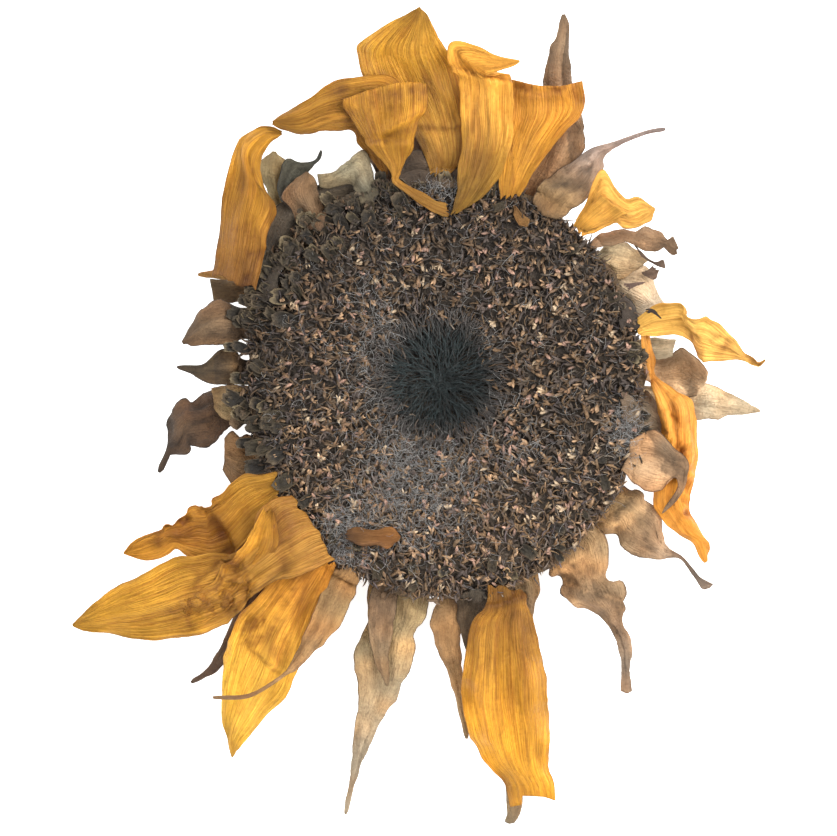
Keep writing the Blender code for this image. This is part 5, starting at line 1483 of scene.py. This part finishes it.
def make_floret_bed(looks, finish):
    """The dark ground between the florets: the disc's dome, pitted, with its side and bottom closed."""
    shares = np.concatenate([[0.01, 0.5, FLORET_BED_SHARE], np.linspace(BED_SHARE, 0.01, BED_RINGS)])
    heights = np.concatenate([[FLORET_BED] * 3, disc_height(shares[3:]) - BED_DEPTH])
    heights[3] = DISC_EDGE - BED_DEPTH

    def wrinkle(share, angle, height):
        x, y = on_ellipse(share, angle)
        top = height > FLORET_BED + 0.2
        return share, height + top * (0.55 * noise(x / 1.1, y / 1.1, 21) + 0.4 * noise(x / 3, y / 3, 22))

    points, faces = turned(shares, heights, BED_SIDES, wrinkle)
    x, y = points[:, 0], points[:, 1]
    # The bed's tint takes the painted light of the gaps in the lower half of the disc
    tint = np.array(looks.bed) * (1 + 0.5 * noise(x / 2, y / 2, 23))[:, None] * gap_light(x, y)[:, None]
    obj = add_mesh("floret_bed", points, faces, finish, tint=tint)
    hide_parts("floret_disc")
    return obj


def disc_sites(count, last_share, random, jitter):
    """Places on the disc that turn by the golden angle, so they lie in crossing spirals, then nudged."""
    number = np.arange(count)
    share = last_share * np.sqrt((number + 0.5) / count)
    x, y = on_ellipse(share, number * GOLDEN_ANGLE)
    x, y = x + random.normal(0, jitter, count), y + random.normal(0, jitter, count)
    return x, y


def pick(random, palette, weights, count):
    """Random colours from a palette, each made a little lighter or darker."""
    tones = np.array([tone(*shade) for shade in palette])
    chosen = tones[random.choice(len(tones), count, p=np.array(weights) / sum(weights))]
    return chosen * random.uniform(0.58, 0.96, (count, 1))


def painted_disc_light(x, y):
    """How light the florets are painted at a place: patchy, with painted shade towards the top and at the
    left rim.
    """
    level = 1 - TOP_PAINTED_SHADE * y / (HEAD_WIDE / 2)
    light = level + 0.22 * noise(x / 7, y / 7, 31) + 0.16 * noise(x / 2.5, y / 2.5, 33)
    return light * (1 - LEFT_PAINTED_SHADE * smooth_step(-x, 36, 48))


def gap_light(x, y):
    """How light the gaps between the florets are painted: lit by painted light in the lower half of the
    disc, dark elsewhere.
    """
    return 1 + LOWER_GAP_LIGHT * smooth_step(-y, 4, 34) * (1 + 0.3 * noise(x / 5, y / 5, 35))


def around_centre(x, y):
    """Distance from the middle of the disc's pattern, and the heading towards it."""
    return np.hypot(x - CENTRE[0], y - CENTRE[1]), np.arctan2(CENTRE[1] - y, CENTRE[0] - x)


def make_strands(name, count, seed, palette, weights, finish):
    """Withered floret tubes: short bristles that curl over one another in all directions."""
    random = np.random.default_rng(seed)
    x, y = disc_sites(count, last_share=0.99, random=random, jitter=0.6)
    away, inward = around_centre(x, y)
    keep = (away > random.uniform(11, 17, count)) & (rim_share(x, y) < 1.0)
    x, y, away, inward = (part[keep] for part in (x, y, away, inward))
    count = len(x)
    start = on_disc(x, y, above=random.uniform(-0.9, 0.5, count))
    loose = np.interp(away, [14, 26], [0.5, 2.2])
    paths = curling_paths(
        start, heading=inward + loose * random.normal(0, 1, count),
        climb=random.uniform(0.1, 1.0, count), length=random.uniform(1.6, 3.6, count),
        turn=random.normal(0, 1.1, count), droop=random.uniform(-1.4, -0.2, count), rings=STRAND_RINGS
    )
    taper = np.interp(np.linspace(0, 1, STRAND_RINGS), [0, 0.3, 1], [1.0, 0.95, 0.4])
    radii = random.uniform(0.13, 0.32, count)[:, None] * taper
    # Painted disc light: the strand's tint is darker towards the top and at the left rim
    base = pick(random, palette, weights, count) * painted_disc_light(x, y)[:, None]
    # A strand's root is darker and takes the painted light of the gaps
    root = base * 0.7 * gap_light(x, y)[:, None]
    return add_tubes(name, paths, radii, 3, [root, base * 1.1], [0, 1], finish)


def make_florets(looks, finish):
    """The dry florets: spindles that lean to the middle, dark at the root, about half with a pale tip."""
    random = np.random.default_rng(12)
    x, y = disc_sites(looks.florets, last_share=0.985, random=random, jitter=0.45)
    away, inward = around_centre(x, y)
    keep = (away > random.uniform(13, 20, len(x))) & (rim_share(x, y) < 0.995)
    x, y, away, inward = (part[keep] for part in (x, y, away, inward))
    count = len(x)
    start = on_disc(x, y, above=random.uniform(-1.5, -0.6, count))
    start[:, :2] -= 0.8 * np.column_stack([np.cos(inward), np.sin(inward)])
    heading = inward + random.normal(0, 0.8, count)
    climb = random.uniform(0.35, 1.15, count)
    length = random.uniform(2.4, 3.6, count) * looks.tip_length / 1.6
    paths = curling_paths(
        start, heading, climb, length, turn=random.normal(0, 0.4, count),
        droop=random.uniform(-0.8, 0.0, count), rings=len(FLORET_SHAPE)
    )
    wide = random.uniform(0.65, 1.35, count) * looks.tip_width / 2
    # Painted disc light: darker towards the top and at the left rim; it also sets how many tips are pale
    light = painted_disc_light(x, y)
    pale_share = np.clip(0.5 * light * np.interp(away, [16, 26], [0.4, 1.0]), 0, 1)
    lit = (random.random(count) < pale_share)[:, None]
    pale = [(206, 166, 126), (196, 154, 132), (224, 196, 160), (166, 128, 94)]
    dull = [(124, 99, 72), (98, 83, 74), (138, 107, 74), (90, 74, 59)]
    bright = pick(random, pale, [3, 2.5, 1.5, 3], count)
    dark = pick(random, dull, [3, 3, 2, 3], count)
    tip = np.where(lit, bright, dark) * (0.5 + 0.5 * light)[:, None]
    root = dark * light[:, None]
    # The lowest stop, down among the florets, is darker still and takes the painted light of the gaps
    stops = [root * 0.6 * gap_light(x, y)[:, None], root, blend(root, tip, 0.75), tip]
    add_tubes(
        "floret_tubes", paths, wide[:, None] * FLORET_SHAPE, 5, stops, [0, 0.35, 0.62, 1], finish, flat=0.75
    )
    mouths = paths[:, len(FLORET_SHAPE) // 2]
    make_floret_lobes(random, mouths, heading, climb, length, wide, root, tip, finish)


def make_floret_lobes(random, mouths, heading, climb, length, wide, root, tip, finish):
    """More lobes: at many of the florets' mouths one or two stand off to the sides."""
    lobes = random.choice([0, 1, 2], len(mouths), p=[0.35, 0.4, 0.25])
    parent = np.repeat(np.arange(len(mouths)), lobes)
    count = len(parent)
    aside = random.choice([-1, 1], count) * random.uniform(0.35, 1.0, count)
    paths = curling_paths(
        mouths[parent], heading[parent] + aside, climb=climb[parent] * random.uniform(0.3, 1.1, count),
        length=length[parent] * random.uniform(0.42, 0.66, count), turn=random.normal(0, 0.5, count),
        droop=random.uniform(-0.5, 0.3, count), rings=len(LOBE_SHAPE)
    )
    radii = wide[parent, None] * random.uniform(0.7, 1.1, (count, 1)) * LOBE_SHAPE
    ends = tip[parent] * random.uniform(0.75, 1.3, (count, 1))
    add_tubes("floret_tips", paths, radii, 4, [root[parent], ends], [0.1, 0.7], finish, flat=0.7)


def make_rim_fringe(looks, finish):
    """Withered outer florets: a ragged fringe that leans out over the edge of the disc on all sides."""
    random = np.random.default_rng(24)
    count = looks.fringe
    around = random.uniform(0, 2 * math.pi, count)
    drop = random.uniform(0, 1, count) ** 1.5
    aside = (around - CROWDED_RIM + math.pi) % (2 * math.pi) - math.pi
    crowded = np.exp(-((aside / 0.6) ** 2))
    share = 0.975 - 0.05 * random.random(count) + 0.09 * crowded * random.random(count)
    x, y = on_ellipse(share, around)
    paths = curling_paths(
        np.column_stack([x, y, DISC_EDGE + 0.4 - 2.0 * drop]),
        heading=np.arctan2(y, x) + random.normal(0, 0.75, count),
        climb=0.9 - 1.1 * drop + random.normal(0, 0.3, count), length=random.uniform(1.4, 3.2, count),
        turn=random.normal(0, 0.9, count), droop=random.normal(-0.6, 0.5, count), rings=len(FRINGE_SHAPE)
    )
    radii = random.uniform(0.16, 0.42, count)[:, None] * FRINGE_SHAPE
    palette = [(110, 85, 61), (88, 70, 54), (134, 102, 70), (98, 84, 76)]
    # Painted disc light: darker towards the top and at the left rim
    base = pick(random, palette, [3, 3, 2, 2], count) * painted_disc_light(x, y)[:, None]
    stops = [base * 0.65, base, base * 1.25]
    return add_tubes("rim_fringe", paths, radii, 4, stops, [0, 0.5, 1], finish, flat=0.7)


def make_centre_needles(looks, finish):
    """Unopened florets in the middle: long dark hairs that close in over it from all round."""
    random = np.random.default_rng(14)
    count, farthest = looks.needles, 19
    around = random.uniform(0, 2 * math.pi, count)
    away = farthest * np.sqrt(random.uniform(0.01, 1, count))
    x, y = CENTRE[0] + away * np.cos(around), CENTRE[1] + away * np.sin(around)
    start = on_disc(x, y, above=random.uniform(-0.9, 0.1, count))
    paths = curling_paths(
        start, heading=around + math.pi + random.normal(0, 0.28, count),
        climb=random.uniform(0.25, 0.8, count), length=random.uniform(3, 6, count),
        turn=random.normal(0, 0.4, count), droop=random.uniform(-1.1, -0.4, count), rings=NEEDLE_RINGS
    )
    taper = np.interp(np.linspace(0, 1, NEEDLE_RINGS), [0, 0.5, 1], [1.0, 0.9, 0.3])
    radii = random.uniform(0.08, 0.18, count)[:, None] * taper
    palette = [(52, 66, 66), (42, 50, 50), (62, 76, 78), (58, 56, 52)]
    outer = np.array(tone(92, 85, 80)) * random.uniform(0.7, 1.3, (count, 1))
    inner = pick(random, palette, [6, 6, 3, 3], count)
    base = blend(inner, outer, smooth_step(away, 12.5, farthest)[:, None])
    return add_tubes("centre_needles", paths, radii, 3, [base * 0.75, base], [0, 1], finish)


def make_cobweb(looks, finish):
    """Grey fluff: fibres thinner than the florets, gathered in a few clots and sparse between them."""
    random = np.random.default_rng(16)
    places, reaches, weights = (np.array(part) for part in zip(*FLUFF_CLOTS))
    home = random.choice(len(FLUFF_CLOTS), looks.fibres, p=weights / weights.sum())
    x, y = (places[home] + random.normal(0, 1, (looks.fibres, 2)) * reaches[home]).T
    away, _ = around_centre(x, y)
    keep = (rim_share(x, y) < 0.985) & (away > random.uniform(11, 18, len(x)))
    x, y = x[keep], y[keep]
    count = len(x)
    start = on_disc(x, y, above=random.uniform(0.5, 1.7, count))
    paths = curling_paths(
        start, heading=random.uniform(0, 2 * math.pi, count), climb=random.normal(0, 0.25, count),
        length=random.uniform(2, 5, count), turn=random.normal(0, 1.8, count),
        droop=random.normal(-0.2, 0.3, count), rings=FIBRE_RINGS
    )
    radii = np.tile(random.uniform(0.018, 0.045, count)[:, None], FIBRE_RINGS)
    base = np.array(looks.fluff) * random.uniform(0.6, 1.3, (count, 1))
    return add_tubes("cobweb_fluff", paths, radii, 3, [base], [0], finish)


def make_rim_scales(looks, finish):
    """Empty husks round the disc's rim: troughs that point outwards, u along and v across.

    Their mouths flare, with a thin pale lip. They are crowded at the left and small elsewhere.
    """
    random = np.random.default_rng(18)
    spans = np.array(HUSK_SPANS)
    counts = np.round(looks.rim_scales * spans[:, 2]).astype(int)
    first, last, _, size, nearest, farthest = np.repeat(spans, counts, axis=0).T
    count = len(size)
    around = np.radians(random.uniform(first, last))
    size = (size * random.uniform(0.7, 1.25, count))[:, None, None]
    share = random.uniform(nearest, farthest)
    x, y = on_ellipse(share, around)
    outward = np.arctan2(y, x) + random.normal(0, 0.4, count)
    u = np.linspace(0, 1, HUSK_POINTS)[None, :, None]
    v = np.linspace(-1, 1, HUSK_POINTS)[None, None, :]
    half = 1.5 * size * (0.55 + 0.45 * np.sin(math.pi * (0.1 + 0.62 * u)))
    bend = 1.25 + 0.2 * random.normal(0, 1, (count, 1, 1))
    aside = half * np.sin(bend * v) / np.sin(np.minimum(bend, 1.5))
    ragged = 0.25 * random.normal(0, 1, (count, 1, HUSK_POINTS)) * u**4
    far = size * (5.2 * (u - 0.5) + ragged - 0.5 * v**2 * u)
    rough = 0.25 * random.normal(0, 1, (count, HUSK_POINTS, HUSK_POINTS))
    up = half * (1 - np.cos(bend * v)) + size * (0.9 * u**3 - 0.5 + rough)
    height = disc_height(share) + random.uniform(0.3, 1.2, count)
    x, y, z = np.stack([x, y, height])[..., None, None]
    ahead, across = np.cos(outward)[:, None, None], np.sin(outward)[:, None, None]
    grid = np.stack([x + far * ahead - aside * across, y + far * across + aside * ahead, z + up], -1)
    points = np.concatenate([sheet_points(husk, 0.2) for husk in grid])
    single = sheet_faces(HUSK_POINTS, HUSK_POINTS)[0]
    number = np.arange(count)[:, None, None]
    faces = [(single + number * 2 * HUSK_POINTS**2).reshape(-1, 4)]
    body = pick(random, [(80, 68, 46), (62, 52, 38), (92, 76, 50)], [3, 4, 2], count)[:, None, None]
    lip = pick(random, [(142, 124, 92), (106, 90, 68), (82, 70, 52)], [2, 3, 3], count)[:, None, None]
    pale = smooth_step(np.maximum(np.abs(v) - 0.25 + 0.25 * u, u), 0.8, 0.97)[..., None]
    # Painted shade: each husk is darker along the middle of its trough, in its hollow, and pale at its lip
    shade = blend(body * (0.45 + 0.55 * v**2)[..., None], lip, pale).reshape(count, -1, 3)
    tint = np.concatenate([shade, shade], axis=1).reshape(-1, 3)
    obj = add_mesh("rim_scales", points, faces, finish, tint=tint)
    return obj


def shade_property(label, description, shade):
    """A colour of a finish, shown as a swatch, whose default is a tone from 0 to 255."""
    return bpy.props.FloatVectorProperty(
        name=label, description=description, subtype="COLOR", min=0, max=1, default=tone(*shade)
    )


def size_property(label, description, default, least=0.0):
    """A size of a piece in millimetres."""
    return bpy.props.FloatProperty(
        name=label, description=description + ", in millimetres", default=default, min=least
    )


def count_property(label, description, default):
    """A number of like pieces."""
    return bpy.props.IntProperty(name=label, description=description, default=default, min=1)


class SunflowerBlades(bpy.types.PropertyGroup):
    """Sizes and finishes of petals and bracts."""

    petal_thickness: size_property("Petal thickness", "Thickness of a dry petal", 0.24, least=0.05)
    bract_thickness: size_property("Bract thickness", "Thickness of a dry bract", 0.35, least=0.05)
    pleat_height: size_property("Pleat height", "Height of a petal's fine pleats", 0.2)
    fold_height: size_property("Fold height", "Height of a petal's long folds", 0.45)
    crumple_height: size_property("Petal crumple", "Height of a petal's crumples", 0.3)
    leaf_crumple: size_property("Bract crumple", "Height of a bract's crumples", 0.7)
    # Brightness of the painted shadow on a bract where it leaves the head, as a share
    painted_root_shadow: bpy.props.FloatProperty(
        name="Root shade", description="Brightness of a bract where it leaves the head, as a share",
        default=0.5, min=0, max=1, subtype="FACTOR")
    streak: shade_property("Petal streak", "What brown streaks multiply a petal's tint by", (204, 178, 160))
    # The colour that stains and the painted shade of folds multiply a petal's tint by
    stain_and_shade: shade_property("Petal stain", "What folds and stains multiply a petal's tint by", (158, 134, 128))
    blotch: shade_property("Bract blotch", "What the blotches multiply a bract's tint by", (190, 180, 172))
    vein: shade_property("Bract vein", "What the veins multiply a bract's tint by", (255, 255, 250))


class SunflowerDisc(bpy.types.PropertyGroup):
    """Counts, sizes and colours of the disc and the dish under it."""

    florets: count_property("Florets", "How many florets the disc has", 2300)
    tip_length: size_property("Tip length", "Length of a floret's dry lobe", 1.8, least=0.1)
    tip_width: size_property("Tip width", "Width of a floret's dry lobe", 0.88, least=0.1)
    strands: count_property("Strands", "How many curled strands each of the two layers has", 2600)
    fringe: count_property("Rim florets", "How many withered florets hang over the rim", 1600)
    needles: count_property("Needles", "How many long hairs cover the middle", 2150)
    fibres: count_property("Fibres", "How many fibres of fluff lie on the disc", 4000)
    rim_scales: count_property("Rim husks", "Number that the shares of husks round the rim are taken of", 96)
    bed: shade_property("Bed", "Colour of the ground between the florets", (64, 54, 44))
    fluff: shade_property("Fluff", "Colour of the cobweb fluff", (164, 162, 159))
    dish_low: shade_property("Dish skin", "Colour of the receptacle near the flat spot", (150, 120, 84))
    dish_rim: shade_property("Dish rim", "Colour of the receptacle at its rim", (112, 90, 62))


class SunflowerStage(bpy.types.PropertyGroup):
    """The floor, the lights and the air round the head."""

    floor: shade_property("Floor", "Colour of the floor", (250, 250, 249))
    floor_glow: bpy.props.FloatProperty(
        name="Floor glow", description="How strongly the floor is lit from below", default=0.7, min=0)
    key_power: bpy.props.FloatProperty(
        name="Key light", description="Power of the large soft light", default=17.6, min=0, unit="POWER")
    fill_power: bpy.props.FloatProperty(
        name="Fill light", description="Power of the weaker light opposite",
        default=4.7, min=0, unit="POWER")
    air: bpy.props.FloatProperty(
        name="Air", description="Strength of the even light from all round", default=1.15, min=0)


class AddReceptacle(bpy.types.Operator):
    """Turns the wrinkled dish that the head grows on."""

    bl_idname = "sunflower.add_receptacle"
    bl_label = "Receptacle"

    def execute(self, context):
        looks = context.scene.sunflower_disc
        make_receptacle(looks, tinted_material("Dry Dish", 0.85, 500, 0.0006))
        return {"FINISHED"}


class AddFloretBed(bpy.types.Operator):
    """Lays the dark ground between the florets."""

    bl_idname = "sunflower.add_floret_bed"
    bl_label = "Floret bed"

    def execute(self, context):
        make_floret_bed(context.scene.sunflower_disc, tinted_material("Floret Bed", 0.95, 1500, 0.0008))
        return {"FINISHED"}


class AddStrands(bpy.types.Operator):
    """Covers the bed with two layers of curled strands, one brown and one grey."""

    bl_idname = "sunflower.add_strands"
    bl_label = "Curled strands"

    def execute(self, context):
        looks = context.scene.sunflower_disc
        finish = tinted_material("Floret Strand", 0.7, 2500, 0.0001)
        brown = [(112, 87, 63), (132, 104, 74), (154, 123, 87), (86, 68, 52)]
        grey = [(118, 103, 91), (98, 85, 84), (144, 129, 112), (82, 72, 64)]
        make_strands("strands_brown", looks.strands, 20, brown, [4, 4, 2, 3], finish)
        make_strands("strands_grey", looks.strands, 21, grey, [4, 3, 1.5, 4], finish)
        return {"FINISHED"}


class AddFlorets(bpy.types.Operator):
    """Stands the florets and the lobes at their mouths."""

    bl_idname = "sunflower.add_florets"
    bl_label = "Florets"

    def execute(self, context):
        make_florets(context.scene.sunflower_disc, tinted_material("Dry Floret", 0.6, 2200, 0.0001))
        return {"FINISHED"}


class AddRimFringe(bpy.types.Operator):
    """Hangs a fringe of withered florets round the edge of the disc."""

    bl_idname = "sunflower.add_rim_fringe"
    bl_label = "Rim fringe"

    def execute(self, context):
        make_rim_fringe(context.scene.sunflower_disc, tinted_material("Rim Floret", 0.75, 2200, 0.0001))
        return {"FINISHED"}


class AddCentre(bpy.types.Operator):
    """Closes long dark hairs over the middle of the disc."""

    bl_idname = "sunflower.add_centre"
    bl_label = "Centre hairs"

    def execute(self, context):
        make_centre_needles(context.scene.sunflower_disc, tinted_material("Centre Hair", 0.45, 2500, 0.0001))
        return {"FINISHED"}


class AddCobweb(bpy.types.Operator):
    """Spreads clots of grey fluff over the florets."""

    bl_idname = "sunflower.add_cobweb"
    bl_label = "Cobweb fluff"

    def execute(self, context):
        make_cobweb(context.scene.sunflower_disc, tinted_material("Fluff", 0.9, 3000, 0.00005))
        return {"FINISHED"}


class AddRimScales(bpy.types.Operator):
    """Lays empty husks round the rim of the disc."""

    bl_idname = "sunflower.add_rim_scales"
    bl_label = "Rim husks"

    def execute(self, context):
        make_rim_scales(context.scene.sunflower_disc, tinted_material("Papery Scale", 0.8, 900, 0.0003))
        return {"FINISHED"}


class AddPetals(bpy.types.Operator):
    """Spreads the thirteen dry petals."""

    bl_idname = "sunflower.add_petals"
    bl_label = "Petals"

    def execute(self, context):
        looks = context.scene.sunflower_blades
        finish = petal_material(looks)
        for number, node in enumerate(PETALS):
            make_petal(number, node, looks, finish)
        return {"FINISHED"}


class AddScraps(bpy.types.Operator):
    """Lays folds and scraps of petal on the petals and florets, and scales and thorns at the rim, some of
    the dark scales standing in for shadow in gaps.
    """

    bl_idname = "sunflower.add_scraps"
    bl_label = "Scraps and thorns"

    def execute(self, context):
        looks = context.scene.sunflower_blades
        torn, withered = bpy.data.materials.get("Dry Petal"), bpy.data.materials.get("Withered Bract")
        if torn is None or withered is None:
            raise RuntimeError("Petals and bracts come before the scraps")
        for number, name in enumerate(SCRAPS):
            if name.startswith("petal"):
                make_scrap(number, name, looks, torn)
            else:
                make_scrap(number, name, looks, withered)
        return {"FINISHED"}


class AddBracts(bpy.types.Operator):
    """Spreads the withered bracts round the back of the head."""

    bl_idname = "sunflower.add_bracts"
    bl_label = "Bracts"

    def execute(self, context):
        looks = context.scene.sunflower_blades
        finish = bract_material(looks)
        for number, node in enumerate(BRACTS):
            make_bract(number, node, looks, finish)
        return {"FINISHED"}


def add_area_light(name, power, size, place, colour):
    """A soft square light that faces the head."""
    light = bpy.data.lights.new(name, "AREA")
    light.energy = power
    light.size = size
    light.color = colour
    obj = bpy.data.objects.new(name, light)
    obj.location = place
    obj.rotation_euler = (Vector(LIGHTS_AIM) - Vector(place)).to_track_quat("-Z", "Y").to_euler()
    bpy.context.scene.collection.objects.link(obj)


def add_floor(looks):
    """A pale plane just under the head, faintly lit from below."""
    corners = [(x * FLOOR_REACH, y * FLOOR_REACH, -FLOOR_GAP) for x, y in FLOOR_CORNERS]
    mesh = bpy.data.meshes.new("floor")
    mesh.from_pydata(corners, [], [(0, 1, 2, 3)])
    finish, _, shader = plain_material("Floor", 0.9)
    shader.inputs["Base Color"].default_value = (*looks.floor, 1)
    shader.inputs["Emission Color"].default_value = (*looks.floor, 1)
    shader.inputs["Emission Strength"].default_value = looks.floor_glow
    mesh.materials.append(finish)
    floor = bpy.data.objects.new("floor", mesh)
    bpy.context.scene.collection.objects.link(floor)


def add_air(looks):
    """Even light from all round."""
    world = bpy.data.worlds.new("Air")
    world.use_nodes = True
    air = world.node_tree.nodes["Background"].inputs
    air["Color"].default_value = (0.97, 0.985, 1.0, 1)
    air["Strength"].default_value = looks.air
    bpy.context.scene.world = world


def add_photo_view():
    """The camera, straight above the point that it looks at."""
    camera = bpy.data.cameras.new("photo_view")
    camera.sensor_width = SENSOR
    camera.lens = SENSOR * CAMERA_HEIGHT / FIELD
    camera.clip_end = 10.0
    view = bpy.data.objects.new("photo_view", camera)
    view.location = (LOOKS_AT[0] * MM, LOOKS_AT[1] * MM, (LOOKS_AT[2] + CAMERA_HEIGHT) * MM)
    bpy.context.scene.collection.objects.link(view)
    bpy.context.scene.camera = view


class AddStage(bpy.types.Operator):
    """Lays the pale floor and sets the soft lights and the camera that looks straight down."""

    bl_idname = "sunflower.add_stage"
    bl_label = "Stage"

    def execute(self, context):
        looks = context.scene.sunflower_stage
        add_floor(looks)
        add_area_light("key", looks.key_power, size=0.7, place=(0.62, 0.35, 0.9), colour=(1.0, 0.985, 0.96))
        add_area_light("fill", looks.fill_power, size=0.9, place=(-0.7, -0.3, 0.8), colour=(0.96, 0.98, 1.0))
        add_air(looks)
        add_photo_view()
        context.scene.view_settings.view_transform = "Standard"
        return {"FINISHED"}


OPERATORS = (
    AddReceptacle, AddFloretBed, AddStrands, AddFlorets, AddRimFringe, AddCentre, AddCobweb, AddRimScales,
    AddPetals, AddBracts, AddScraps, AddStage,
)
SETTINGS = {
    "sunflower_blades": SunflowerBlades, "sunflower_disc": SunflowerDisc, "sunflower_stage": SunflowerStage,
}


class SunflowerPanel(bpy.types.Panel):
    """The steps that dress the head, in order, and what they take their sizes and colours from."""

    bl_idname = "VIEW3D_PT_sunflower"
    bl_label = "Dried Sunflower Head"
    bl_space_type = "VIEW_3D"
    bl_region_type = "UI"
    bl_category = "Sunflower"

    def draw(self, context):
        for operator in OPERATORS:
            self.layout.operator(operator.bl_idname)
        for name, settings in SETTINGS.items():
            box = self.layout.box()
            for label in settings.__annotations__:
                box.prop(getattr(context.scene, name), label)


def register():
    for made in (*SETTINGS.values(), *OPERATORS, SunflowerPanel):
        bpy.utils.register_class(made)
    for name, settings in SETTINGS.items():
        setattr(bpy.types.Scene, name, bpy.props.PointerProperty(type=settings))


def unregister():
    for name in SETTINGS:
        delattr(bpy.types.Scene, name)
    for made in reversed((*SETTINGS.values(), *OPERATORS, SunflowerPanel)):
        bpy.utils.unregister_class(made)


def main():
    register()
    bpy.ops.sunflower.add_receptacle()
    bpy.ops.sunflower.add_floret_bed()
    bpy.ops.sunflower.add_strands()
    bpy.ops.sunflower.add_florets()
    bpy.ops.sunflower.add_rim_fringe()
    bpy.ops.sunflower.add_centre()
    bpy.ops.sunflower.add_cobweb()
    bpy.ops.sunflower.add_rim_scales()
    bpy.ops.sunflower.add_petals()
    bpy.ops.sunflower.add_bracts()
    bpy.ops.sunflower.add_scraps()
    bpy.ops.sunflower.add_stage()


if __name__ == "__main__":
    main()
